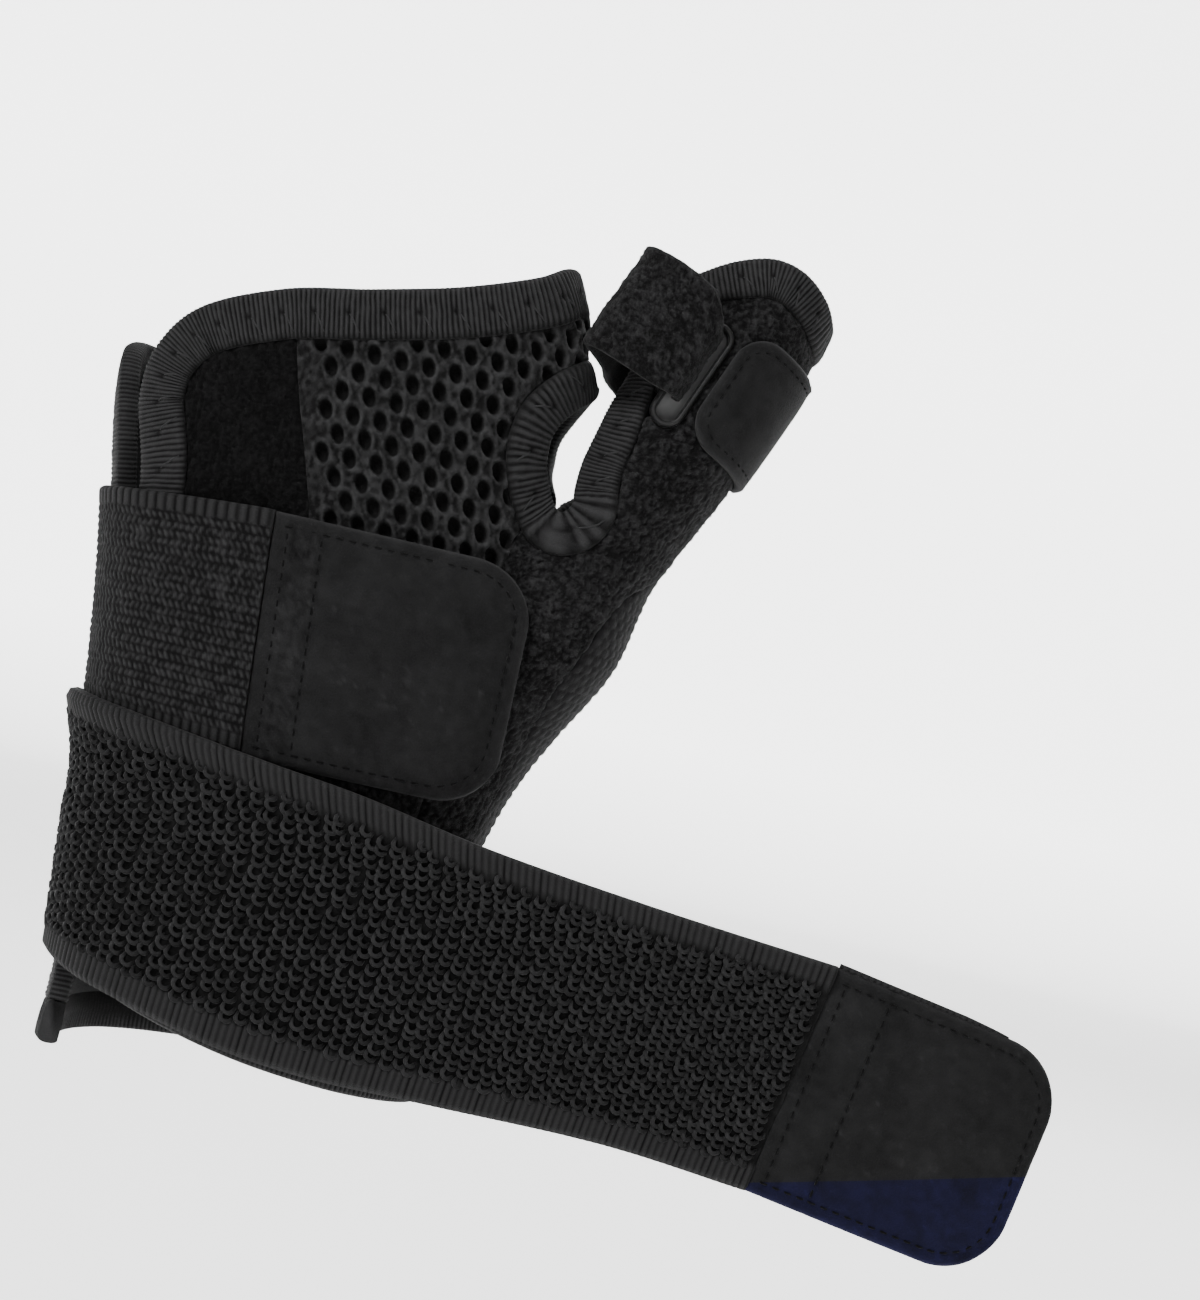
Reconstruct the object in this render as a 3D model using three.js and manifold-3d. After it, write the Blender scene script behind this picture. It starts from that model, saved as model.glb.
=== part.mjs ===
// Wrist and thumb support sleeve for a left hand, kept in the shape it has when worn.
// Millimetres, +Z along the wrist toward the fingers, +X to the thumb side, -Y out of the back of the hand.
// The origin is the middle of the wrist.
import * as THREE from "three";
import Module from "manifold-3d";

const { Manifold, Mesh: Solid } = await Module().then((kit) => (kit.setup(), kit));

// Form inside the sleeve: oval sections with their middle (x, y), half width and half depth
const HAND = [
  { z: -45, x: -1.2, y: 0, width: 34.8, depth: 25 },
  { z: -20, x: -0.7, y: 0, width: 34.1, depth: 24 },
  { z: 5, x: -1.2, y: 0, width: 35.4, depth: 22.5 },
  { z: 30, x: -1.5, y: 0, width: 37, depth: 21.5 },
  { z: 60, x: -2.7, y: 0, width: 39.7, depth: 20.5 },
  { z: 95, x: -6.2, y: 0, width: 42.5, depth: 18 },
  { z: 120, x: -6.5, y: 0, width: 41, depth: 16 },
  { z: 140, x: -9.5, y: 0, width: 36, depth: 14.5 },
];
const THUMB = [
  { z: 10, x: 17, y: 0, width: 10, depth: 10 },
  { z: 45, x: 30.6, y: 1, width: 15, depth: 14.5 },
  { z: 60, x: 37.6, y: 1.5, width: 15.9, depth: 15.5 },
  { z: 78, x: 43.8, y: 2, width: 13.8, depth: 14 },
  { z: 101, x: 54.7, y: 4, width: 13.4, depth: 12.8 },
  { z: 125, x: 64.4, y: 7, width: 13.1, depth: 12.2 },
  { z: 150, x: 71, y: 10.6, width: 12.4, depth: 11.4 },
];
const HAND_POWER = 2.4;
const THUMB_POWER = 2;
const WEB_BLEND = 8;

// Layers, as distances from the form
const PANEL = { inner: 0.4, outer: 3.2 };
const TAPE = { inner: 0.1, outer: 4.1 };
const UPPER_STRAP = { inner: 4.7, outer: 6.5 };
const UPPER_TAB = { inner: 3.8, outer: 6.0 };
const LOWER_STRAP = { inner: 4.7, thick: 2.2, lift: 3, liftHeight: 12 };
const THUMB_TAB = { inner: 3.7, outer: 5.5 };
const GAP = 0.4;
const PANEL_GAP = 0.6;

// Tape widths
const EDGE_TAPE = 9.5;
const HOLE_TAPE = 8.2;
const RIM_TAPE = 7.5;
const WRIST_TAPE = 8;

// Outer edge of the sleeve, from the little-finger side over the top and round the palm
const OUTER_EDGE = [
  { angle: 146, z: -10.4 },
  { angle: 146, z: 40 },
  { angle: 142, z: 78 },
  { angle: 145, z: 92 },
  { angle: 142, z: 101 },
  { angle: 132, z: 110 },
  { angle: 110, z: 118 },
  { angle: 88, z: 122 },
  { angle: 66, z: 126.5 },
  { angle: 42, z: 132 },
  { angle: 19, z: 135.6 },
  { angle: -3, z: 135 },
  { angle: -24, z: 131 },
  { angle: -46, z: 123 },
  { angle: -70, z: 113 },
  { angle: -100, z: 106 },
  { angle: -140, z: 103 },
  { angle: -172, z: 103 },
  { angle: -192, z: 100 },
  { angle: -203, z: 91 },
  { angle: -206, z: 78 },
  { angle: -204, z: 40 },
  { angle: -204, z: -27.4 },
];
const INDEX_SIDE = 0;
const WEB_END = -44;

// Lower edge round the wrist
const WRIST_EDGE = [
  { angle: 146, z: -19 },
  { angle: 120, z: -23.5 },
  { angle: 90, z: -28 },
  { angle: 60, z: -30.5 },
  { angle: 20, z: -32 },
  { angle: -40, z: -33 },
  { angle: -100, z: -34 },
  { angle: -150, z: -35.5 },
  { angle: -185, z: -36 },
  { angle: -204, z: -36 },
];

// Front half of the opening at the thumb web: up the thumb, and up the hand to the index side
const HOLE_THUMB_SIDE = [
  { angle: 172, z: 129.4 },
  { angle: 166, z: 122 },
  { angle: 155, z: 113 },
  { angle: 144, z: 105 },
  { angle: 136, z: 98 },
  { angle: 127, z: 93 },
];
const HOLE_FORK = [
  { x: 41, y: -12.5, z: 90 },
  { x: 39.5, y: -12.5, z: 88.3 },
  { x: 38, y: -12.5, z: 89.8 },
];
const HOLE_HAND_SIDE = [
  { x: 36.8, y: -13, z: 92.5 },
  { x: 35.6, y: -13.4, z: 97 },
  { x: 35.8, y: -12.4, z: 103 },
  { x: 37.8, y: -7, z: 108.5 },
  { x: 38.6, y: 0, z: 110.5 },
];

// Top edge of the thumb piece
const THUMB_RIM = [
  { angle: 172, z: 139 },
  { angle: 145, z: 141.5 },
  { angle: 118, z: 145 },
  { angle: 93, z: 147 },
  { angle: 69, z: 146 },
  { angle: 39, z: 142 },
  { angle: 15, z: 138.5 },
  { angle: -30, z: 137 },
  { angle: -90, z: 137.5 },
  { angle: -140, z: 138.5 },
  { angle: -172, z: 139 },
];

// Seams between the panels
const STRAP_SEAM_Z = 70;
const PATCH_SEAM = [
  { x: -6, z: 70 },
  { x: -7.6, z: 77 },
  { x: -12.4, z: 92 },
  { x: -17.6, z: 108 },
];
const RADIAL_SEAM = [
  { x: 24, z: -20 },
  { x: 26, z: 30 },
  { x: 31, z: 70 },
  { x: 31.4, z: 81 },
];
const KNIT_SEAM = [
  { angle: 33, z: -23.5 },
  { angle: 36, z: 34 },
  { angle: 55, z: 56 },
  { angle: 44, z: 73 },
  { angle: 28, z: 77.5 },
  { angle: 5, z: 80.5 },
  { angle: -15, z: 82 },
];
const PALM_SEAM = [
  { x: 22, z: -24 },
  { x: 24, z: 30 },
  { x: 33, z: 57 },
  { x: 40, z: 74 },
  { x: 41.4, z: 79.8 },
];

// Upper strap: edges along its run, and the tab on its end
const UPPER_RUN = [
  { angle: -62, top: 71, bottom: 26.5 },
  { angle: -120, top: 72, bottom: 28.5 },
  { angle: -180, top: 73, bottom: 30 },
  { angle: -225, top: 74, bottom: 30 },
  { angle: -258, top: 75.8, bottom: 29 },
];
const UPPER_TAB_SHAPE = { left: -11.4, right: 38.5, top: 75.6, bottom: 28.2, corner: 12, lean: 4 };

// Lower strap: on the wrist by angle, then free by position
const LOWER_RUN = [
  { angle: -62, top: 29, bottom: -21 },
  { angle: -120, top: 31, bottom: -20 },
  { angle: -180, top: 32.5, bottom: -18.5 },
  { angle: -205, top: 33, bottom: -18.5 },
  { angle: -240, top: 31.5, bottom: -22 },
];
const LOWER_FREE = [
  { x: -3, y: -31.2, top: 28.6, bottom: -26 },
  { x: 15, y: -31, top: 26.5, bottom: -28 },
  { x: 40, y: -29, top: 22, bottom: -28.2 },
  { x: 75, y: -25.8, top: 17.8, bottom: -28.6 },
  { x: 107.5, y: -22, top: 14.4, bottom: -31.6 },
];
const LOWER_TAB = { length: 50.5, width: 46.4, thick: 2.4, corner: 13, turn: 10, swing: 7 };

// Thumb strap: its own frame on the thumb, its fold on the web side, and the slot it comes out of
const STRAP_AXIS = { x: 62.5, y: 6.5, z: 120.6, lean: 21.5, tip: 7 };
const STRAP_THICK = 1.8;
const STRAP_FOLD = [
  { across: -3.7, out: 13.9, low: -9.4, high: 6.6 },
  { across: -3.9, out: 16.4, low: -9.4, high: 6.6 },
  { across: -5.4, out: 18.6, low: -9.8, high: 9 },
  { across: -9, out: 19.6, low: -10.3, high: 12 },
  { across: -16, out: 19.2, low: -10.3, high: 13.2 },
  { across: -22.6, out: 17.4, low: -10.3, high: 13.2 },
  { across: -24.6, out: 14.6, low: -10.3, high: 13.2 },
  { across: -22.6, out: 10.6, low: -10.3, high: 13.2 },
  { across: -19.4, out: 4, low: -10.3, high: 13.2 },
];
const STRAP_TURN = { from: -176, to: -18, start: 18.6, end: 17.7 };
const TAB_TURN = { from: -16, to: 86, low: -14.6, high: 11.2, corner: 7 };
const SLOT = { across: -3.7, low: -15.5, high: 8.6, width: 7, wall: 1.1, floor: 12.9, face: 16.6 };

const rad = THREE.MathUtils.degToRad;
const clamp = THREE.MathUtils.clamp;
const lerp = THREE.MathUtils.lerp;
const vec = (x, y, z) => new THREE.Vector3(x, y, z);

// Value of one column of a table, smooth between its rows
function column(table, key, at, by = "z") {
  const last = table.length - 1;
  const way = Math.sign(table[last][by] - table[0][by]);
  let i = 0;
  while (i < last - 1 && way * at > way * table[i + 1][by]) i++;
  const row = (k) => table[clamp(k, 0, last)];
  const slope = (a, b) => (b[key] - a[key]) / (b[by] - a[by]);
  const span = row(i + 1)[by] - row(i)[by];
  const t = clamp((at - row(i)[by]) / span, 0, 1);
  const start = slope(row(i - 1), row(i + 1)) * span;
  const end = slope(row(i), row(i + 2)) * span;
  const gain = row(i + 1)[key] - row(i)[key];
  return row(i)[key] + start * t + (3 * gain - 2 * start - end) * t * t + (start + end - 2 * gain) * t ** 3;
}

function section(table, z) {
  const pick = (key) => column(table, key, z);
  return { x: pick("x"), y: pick("y"), width: pick("width"), depth: pick("depth") };
}

// Distance outside an oval column, and outside the hand and thumb together
function ovalDistance(table, power, p) {
  const oval = section(table, p.z);
  const u = Math.abs(p.x - oval.x) / oval.width;
  const v = Math.abs(p.y - oval.y) / oval.depth;
  const size = (u ** power + v ** power) ** (1 / power);
  if (size < 1e-6) return -oval.depth;
  const slope = Math.hypot(u ** (power - 1) / oval.width, v ** (power - 1) / oval.depth) * size ** (1 - power);
  return (size - 1) / slope;
}

function formDistance(p) {
  const hand = ovalDistance(HAND, HAND_POWER, p);
  const thumb = ovalDistance(THUMB, THUMB_POWER, p);
  const near = Math.max(WEB_BLEND - Math.abs(hand - thumb), 0) / WEB_BLEND;
  return Math.min(hand, thumb) - (near * near * WEB_BLEND) / 4;
}

function formNormal(p) {
  const step = 0.05;
  const along = (axis) => {
    const ahead = p.clone();
    const behind = p.clone();
    ahead[axis] += step;
    behind[axis] -= step;
    return formDistance(ahead) - formDistance(behind);
  };
  return vec(along("x"), along("y"), along("z")).normalize();
}

// Nearest point at a given distance from the form
function snap(p, distance) {
  const q = p.clone();
  for (let turn = 0; turn < 12; turn++) {
    q.addScaledVector(formNormal(q), distance - formDistance(q));
  }
  return q;
}

// First point at that distance along a ray that starts inside the form
function cast(from, direction, distance) {
  const at = (t) => from.clone().addScaledVector(direction, t);
  let far = 1;
  while (far < 140 && formDistance(at(far)) < distance) far += 1;
  let near = far - 1;
  for (let turn = 0; turn < 24; turn++) {
    const middle = (near + far) / 2;
    if (formDistance(at(middle)) < distance) near = middle;
    else far = middle;
  }
  return at(far);
}

// Points on a level section: angle 0 on the thumb side, 90 on the back of the hand, 180 on the little-finger side
function ringPoint(table, angle, z, distance) {
  const oval = section(table, z);
  const way = vec(oval.width * Math.cos(rad(angle)), -oval.depth * Math.sin(rad(angle)), 0).normalize();
  return cast(vec(oval.x, oval.y, z), way, distance);
}

function ringAngle(table, p, near = 0) {
  const oval = section(table, p.z);
  const angle = THREE.MathUtils.radToDeg(Math.atan2((oval.y - p.y) / oval.depth, (p.x - oval.x) / oval.width));
  return angle + 360 * Math.round((near - angle) / 360);
}

// Point on the back of the hand (side -1) or on the palm (side 1) at x and z
function facePoint(x, z, side, distance) {
  return cast(vec(x, 0, z), vec(0, side, 0), distance);
}

// Smooth line through points, cut into equal steps or into the same number of steps for each span
function smoothCurve(points) {
  return new THREE.CatmullRomCurve3(points, false, "centripetal");
}

const smoothLine = (points, steps) => smoothCurve(points).getSpacedPoints(steps);
const smoothSpans = (points, steps) => smoothCurve(points).getPoints(steps * (points.length - 1));

function evenSteps(points, steps) {
  const path = new THREE.CurvePath();
  points.slice(1).forEach((p, i) => path.add(new THREE.LineCurve3(points[i], p)));
  return path.getSpacedPoints(steps);
}

// The line moved along the surface, to its right as seen from outside
function inset(line, by, distance) {
  return line.map((p, i) => {
    const along = line[Math.min(i + 1, line.length - 1)].clone().sub(line[Math.max(i - 1, 0)]);
    const side = along.cross(formNormal(p)).normalize();
    let q = p.clone();
    const hops = 6;
    for (let hop = 0; hop < hops; hop++) {
      q = snap(q.addScaledVector(side, by / hops), distance);
      side.projectOnPlane(formNormal(q)).normalize();
    }
    return q;
  });
}

// Closed sheet from a rule that places its two faces: place(u, v, face), face 0 inside and 1 outside
function sheet(across, along, place) {
  const corners = [];
  const faces = [];
  const index = (i, j, face) => ((face * (along + 1)) + j) * (across + 1) + i;
  for (const face of [0, 1]) {
    for (let j = 0; j <= along; j++) {
      for (let i = 0; i <= across; i++) corners.push(...place(i / across, j / along, face).toArray());
    }
  }
  const quad = (a, b, c, d) => faces.push(a, b, c, a, c, d);
  for (let j = 0; j < along; j++) {
    for (let i = 0; i < across; i++) {
      quad(index(i, j, 1), index(i + 1, j, 1), index(i + 1, j + 1, 1), index(i, j + 1, 1));
      quad(index(i, j, 0), index(i, j + 1, 0), index(i + 1, j + 1, 0), index(i + 1, j, 0));
    }
  }
  for (let i = 0; i < across; i++) {
    quad(index(i, 0, 0), index(i + 1, 0, 0), index(i + 1, 0, 1), index(i, 0, 1));
    quad(index(i, along, 1), index(i + 1, along, 1), index(i + 1, along, 0), index(i, along, 0));
  }
  for (let j = 0; j < along; j++) {
    quad(index(0, j, 1), index(0, j + 1, 1), index(0, j + 1, 0), index(0, j, 0));
    quad(index(across, j, 0), index(across, j + 1, 0), index(across, j + 1, 1), index(across, j, 1));
  }
  const geometry = new THREE.BufferGeometry();
  geometry.setAttribute("position", new THREE.Float32BufferAttribute(corners, 3));
  geometry.setIndex(faces);
  return faceOut(geometry);
}

function faceOut(geometry) {
  const p = geometry.attributes.position;
  const order = geometry.index.array;
  let volume = 0;
  for (let k = 0; k < order.length; k += 3) {
    const [a, b, c] = [0, 1, 2].map((n) => vec().fromBufferAttribute(p, order[k + n]));
    volume += a.dot(b.cross(c));
  }
  if (volume < 0) {
    for (let k = 0; k < order.length; k += 3) [order[k], order[k + 1]] = [order[k + 1], order[k]];
  }
  return geometry;
}

// Edges of the sleeve, and the same lines moved in by their tape
const TAPE_MIDDLE = (TAPE.inner + TAPE.outer) / 2;
const onHand = (row) => ringPoint(HAND, row.angle, row.z, TAPE_MIDDLE);
const onThumb = (row) => ringPoint(THUMB, row.angle, row.z, TAPE_MIDDLE);
const onForm = (row) => snap(vec(row.x, row.y, row.z), TAPE_MIDDLE);
const mirrorAngle = (row) => ({ ...row, angle: -row.angle });
const mirrorDepth = (row) => ({ ...row, y: -row.y });

const holeHand = [...HOLE_FORK, ...HOLE_HAND_SIDE];
const holeFront = [...HOLE_THUMB_SIDE.map(onThumb), ...holeHand.map(onForm)];
const holeBack = [
  ...HOLE_THUMB_SIDE.map(mirrorAngle).map(onThumb),
  ...holeHand.slice(0, -1).map(mirrorDepth).map(onForm),
];
const EDGES = {
  outer: smoothSpans(OUTER_EDGE.map(onHand), 4),
  wrist: smoothSpans(WRIST_EDGE.map(onHand), 4).reverse(),
  hole: smoothSpans([...holeBack, ...holeFront.reverse()], 3),
  rim: smoothSpans(THUMB_RIM.map(onThumb), 3),
};
const HOLE_HALF = Math.round(EDGES.hole.length / 2);
const INSETS = {
  outer: inset(EDGES.outer, EDGE_TAPE + PANEL_GAP, TAPE_MIDDLE),
  wrist: inset(EDGES.wrist, WRIST_TAPE + PANEL_GAP, TAPE_MIDDLE),
  hole: inset(EDGES.hole, HOLE_TAPE + 1.5 * PANEL_GAP, TAPE_MIDDLE),
  rim: inset(EDGES.rim, RIM_TAPE + PANEL_GAP, TAPE_MIDDLE),
};

// Lines laid flat: x holds the angle round a form, z the height
function flat(table, line, near) {
  let last = near;
  return line.map((p) => {
    last = ringAngle(table, p, last);
    return vec(last, 0, p.z);
  });
}

// Place on a line, counted in steps, where one of its values first passes a level
function where(line, key, level, after = 0) {
  for (let i = Math.ceil(after); i < line.length - 1; i++) {
    const a = line[i][key] - level;
    const b = line[i + 1][key] - level;
    if (a * b <= 0 && a !== b) return i + a / (a - b);
  }
  return line.length - 1;
}

function stretch(line, from, to) {
  const at = (k) => {
    const i = clamp(Math.floor(k), 0, line.length - 2);
    return line[i].clone().lerp(line[i + 1], k - i);
  };
  const [low, high] = [Math.min(from, to), Math.max(from, to)];
  const inner = [];
  for (let k = Math.floor(low) + 1; k < high; k++) inner.push(line[k].clone());
  const part = [at(low), ...inner, at(high)];
  return from < to ? part : part.reverse();
}

// A panel between four flat sides, bottom and top running the same way, left and right going up.
// Its rows start on the corners of the guide side, so the panel follows that side closely.
function panel(table, sides, across, guide) {
  const along = sides[guide].length - 1;
  const bottom = evenSteps(sides.bottom, across);
  const top = evenSteps(sides.top, across);
  const left = guide === "left" ? sides.left : evenSteps(sides.left, along);
  const right = guide === "right" ? sides.right : evenSteps(sides.right, along);
  const flatPoint = (u, v) => {
    const i = Math.round(u * across);
    const j = Math.round(v * along);
    const rise = bottom[i].clone().lerp(top[i], v);
    const span = left[j].clone().lerp(right[j], u);
    const low = bottom[0].clone().lerp(bottom[across], u);
    const high = top[0].clone().lerp(top[across], u);
    return rise.add(span).sub(low.lerp(high, v));
  };
  return sheet(across, along, (u, v, face) => {
    const p = flatPoint(u, v);
    return snap(ringPoint(table, p.x, p.z, TAPE_MIDDLE), face ? PANEL.outer : PANEL.inner);
  });
}

// A tape along an edge, from one step of the edge to another
function tape(line, width, from = 0, to = line.length - 1) {
  const across = 2;
  const lines = [0, 1, 2].map((i) => stretch(inset(line, (width * i) / across, TAPE_MIDDLE), from, to));
  const along = lines[0].length - 1;
  return sheet(across, along, (u, v, face) => {
    const p = lines[Math.round(u * across)][Math.round(v * along)];
    return snap(p, face ? TAPE.outer : TAPE.inner);
  });
}

// Lowest steps of the hole's inset line, behind and in front, and where the mesh ends beside it
const lowest = (line) => line.reduce((best, p, i) => (p.z < line[best].z ? i : best), 0);
const backFork = lowest(INSETS.hole.slice(0, HOLE_HALF));
const frontFork = INSETS.hole.findIndex((p, i) => i > HOLE_HALF && p.x > RADIAL_SEAM[3].x && p.z < 83.6);

// Panels
const SEAM = PANEL_GAP / 2;
const outerFlat = flat(HAND, INSETS.outer, 146);
const wristFlat = flat(HAND, INSETS.wrist, -204);
const indexStep = where(outerFlat, "x", INDEX_SIDE);
function seamFlat(table, rows, side, shift, near) {
  const line = smoothLine(rows.map((row) => vec(row.x + shift, 0, row.z)), 2 * rows.length);
  return flat(table, line.map((p) => facePoint(p.x, p.z, side, TAPE_MIDDLE)), near);
}
const patchTop = where(outerFlat, "x", 104);
const patchCorner = where(outerFlat, "x", 122);
const strapSeamStep = where(outerFlat, "z", STRAP_SEAM_Z);
const outerAt = (step) => stretch(outerFlat, step, Math.min(step + 1, outerFlat.length - 1))[0];
const holeFlat = flat(HAND, INSETS.hole, -140);
const holePalm = where(holeFlat, "x", WEB_END, HOLE_HALF - 7);
const holeIndex = where(holeFlat, "x", INDEX_SIDE - 0.4, HOLE_HALF - 4);
const shifted = (p, angle, z) => vec(p.x + angle, 0, p.z + z);

function ulnarPatch() {
  const left = stretch(outerFlat, strapSeamStep, patchCorner);
  const top = stretch(outerFlat, patchCorner, patchTop);
  const right = [...seamFlat(HAND, PATCH_SEAM.slice(0, -1), -1, -SEAM, 90), top[top.length - 1]];
  left[0].z += SEAM;
  right[0].z += SEAM;
  return panel(HAND, { bottom: [left[0], right[0]], right, top, left }, 6, "left");
}

function meshPanel() {
  const index = where(holeFlat, "x", INDEX_SIDE + 0.4, HOLE_HALF - 4);
  const top = stretch(outerFlat, patchTop, where(outerFlat, "x", INDEX_SIDE + 0.4));
  top[0].x -= 0.7;
  const left = [...seamFlat(HAND, PATCH_SEAM.slice(0, -1), -1, SEAM, 90), top[0]];
  const rise = seamFlat(HAND, RADIAL_SEAM.slice(2), -1, -SEAM, 40);
  const right = [...rise, ...stretch(holeFlat, frontFork, index), top[top.length - 1]];
  left[0].z += SEAM;
  right[0].z += SEAM;
  return panel(HAND, { bottom: [left[0], right[0]], right, top, left }, 10, "right");
}

function wristPanel() {
  const right = seamFlat(HAND, RADIAL_SEAM.slice(0, 3), -1, -SEAM, 60);
  const low = where(wristFlat, "x", right[0].x);
  const left = stretch(outerFlat, 1, strapSeamStep);
  const corner = where(wristFlat, "x", left[0].x);
  const bottom = stretch(wristFlat, corner, low);
  left[0] = bottom[0];
  right[0] = bottom[bottom.length - 1];
  left[left.length - 1].z -= SEAM;
  right[right.length - 1].z -= SEAM;
  const top = [left[left.length - 1], right[right.length - 1]];
  return panel(HAND, { bottom, right, top, left }, 12, "right");
}

const thumbRim = flat(THUMB, INSETS.rim, 172);
const thumbWrist = flat(THUMB, INSETS.wrist, -190);
const knitSeam = smoothSpans(KNIT_SEAM.map((row) => vec(row.angle, 0, row.z)), 2);
const BACK_SEAM_ANGLE = KNIT_SEAM[KNIT_SEAM.length - 1].angle;

function thumbPanel() {
  const rise = seamFlat(THUMB, RADIAL_SEAM, -1, SEAM, 90);
  const side = flat(THUMB, INSETS.hole.slice(frontFork), 120);
  const rimStart = where(thumbRim, "x", side[side.length - 1].x);
  const top = stretch(thumbRim, rimStart, where(thumbRim, "x", BACK_SEAM_ANGLE));
  const low = where(thumbWrist, "x", rise[0].x);
  const bottom = stretch(thumbWrist, low, where(thumbWrist, "x", knitSeam[0].x));
  const left = [bottom[0], ...rise.slice(1), ...side, top[0]];
  const right = [bottom[bottom.length - 1], ...knitSeam.slice(1), top[top.length - 1]];
  return panel(THUMB, { bottom, right, top, left }, 8, "left");
}

function thumbBack() {
  const side = flat(THUMB, INSETS.hole.slice(0, backFork).reverse(), -100);
  const rimEnd = where(thumbRim, "x", side[side.length - 1].x);
  const top = stretch(thumbRim, where(thumbRim, "x", BACK_SEAM_ANGLE - 1.2), rimEnd);
  const corner = vec(BACK_SEAM_ANGLE - 1.2, 0, KNIT_SEAM[KNIT_SEAM.length - 1].z + 0.8);
  const right = [...side, top[top.length - 1]];
  return panel(THUMB, { bottom: [corner, right[0]], right, top, left: [corner, top[0]] }, 8, "right");
}

function knitPanel() {
  const right = seamFlat(THUMB, PALM_SEAM, 1, SEAM, -60);
  const low = where(thumbWrist, "x", knitSeam[0].x - 1.6);
  const bottom = stretch(thumbWrist, low, where(thumbWrist, "x", right[0].x));
  const left = [bottom[0], ...knitSeam.slice(1).map((p) => shifted(p, -1.6, -0.6))];
  right[0] = bottom[bottom.length - 1];
  const fork = flat(THUMB, INSETS.hole.slice(backFork - 1, backFork), -100)[0];
  // Past the fork, so that the last column of the panel ends beside it
  const top = [left[left.length - 1], shifted(fork, -7.8, -0.5), right[right.length - 1]];
  return panel(THUMB, { bottom, right, top, left }, 8, "left");
}

// Mesh over the web of the thumb, from the index side to the palm

function webPanel() {
  const left = stretch(holeFlat, where(holeFlat, "x", WEB_END + 1, HOLE_HALF - 7), holeIndex);
  const right = stretch(outerFlat, where(outerFlat, "x", WEB_END + 1), where(outerFlat, "x", INDEX_SIDE - 0.4));
  const top = [left[left.length - 1], right[right.length - 1]];
  return panel(HAND, { bottom: [left[0], right[0]], right, top, left }, 2, "left");
}

function palmPanel() {
  const corner = where(outerFlat, "z", 90, where(outerFlat, "x", -170));
  const end = outerFlat.length - 2;
  const rise = seamFlat(HAND, PALM_SEAM, 1, -SEAM, -60);
  const left = stretch(outerFlat, end, corner);
  const top = stretch(outerFlat, corner, where(outerFlat, "x", WEB_END));
  const low = where(wristFlat, "x", left[0].x);
  const bottom = stretch(wristFlat, low, where(wristFlat, "x", rise[0].x));
  left[0] = bottom[0];
  const right = [
    bottom[bottom.length - 1],
    ...rise.slice(1),
    ...stretch(holeFlat, backFork, holePalm),
    top[top.length - 1],
  ];
  return panel(HAND, { bottom, right, top, left }, 13, "right");
}

// Straps and tabs
function cornerShape(u, straight, corner) {
  const turn = clamp((u - 0.6) / 0.4, 0, 1);
  return {
    along: u < 0.6 ? (straight * u) / 0.6 : straight + corner * Math.sin((turn * Math.PI) / 2),
    cut: corner * (1 - Math.cos((turn * Math.PI) / 2)),
  };
}

function upperStrap() {
  const tab = UPPER_TAB_SHAPE;
  const last = UPPER_RUN[UPPER_RUN.length - 1];
  return sheet(3, 26, (u, v, face) => {
    const endPoint = facePoint(tab.left - GAP - tab.lean * (u - 0.5), lerp(last.bottom, last.top, u), -1, 5);
    const angle = lerp(UPPER_RUN[0].angle, ringAngle(HAND, endPoint, last.angle), v);
    const low = column(UPPER_RUN, "bottom", angle, "angle");
    const high = column(UPPER_RUN, "top", angle, "angle");
    return ringPoint(HAND, angle, lerp(low, high, u), face ? UPPER_STRAP.outer : UPPER_STRAP.inner);
  });
}

function upperTab() {
  const tab = UPPER_TAB_SHAPE;
  const straight = tab.right - tab.left - tab.corner;
  const half = (tab.top - tab.bottom) / 2;
  return sheet(14, 6, (u, v, face) => {
    const shape = cornerShape(u, straight, tab.corner);
    const rise = (2 * v - 1) * (half - shape.cut);
    const x = tab.left + shape.along - (tab.lean / 2) * (rise / half) * (1 - u);
    return facePoint(x, tab.bottom + half + rise, -1, face ? UPPER_TAB.outer : UPPER_TAB.inner);
  });
}

// Two faces of a strip whose middle runs along a line, thickened level with the ground or in a given plane
function strapFaces(line, thick, across) {
  return line.map((p, i) => {
    const along = line[Math.min(i + 1, line.length - 1)].clone().sub(line[Math.max(i - 1, 0)]);
    const out = along.cross(across).normalize();
    return [p.clone().addScaledVector(out, -thick / 2), p.clone().addScaledVector(out, thick / 2)];
  });
}

function lowerStrap() {
  const across = 4;
  const along = 40;
  const turn = rad(LOWER_TAB.turn);
  const lines = [0, 1, 2, 3, 4].map((k) => {
    const u = k / across;
    const worn = LOWER_RUN.map((row) => {
      const z = lerp(row.bottom, row.top, u);
      const lift = LOWER_STRAP.lift * clamp(1 - (row.top - z) / LOWER_STRAP.liftHeight, 0, 1);
      return { angle: row.angle, z, distance: LOWER_STRAP.inner + LOWER_STRAP.thick / 2 + lift };
    });
    const points = [];
    for (let angle = worn[0].angle; angle >= worn[worn.length - 1].angle; angle -= 8.3) {
      const at = (key) => column(worn, key, angle, "angle");
      points.push(ringPoint(HAND, angle, at("z"), at("distance")));
    }
    const end = LOWER_FREE.length - 1;
    LOWER_FREE.forEach((row, i) => {
      const z = lerp(row.bottom, row.top, u);
      const lean = i === end ? (z - (row.top + row.bottom) / 2) * Math.tan(turn) : 0;
      points.push(vec(row.x + lean, row.y, z));
    });
    return strapFaces(smoothLine(points, along), LOWER_STRAP.thick, vec(0, 0, 1));
  });
  return sheet(across, along, (u, v, face) => lines[Math.round(u * across)][Math.round(v * along)][face]);
}

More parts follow.
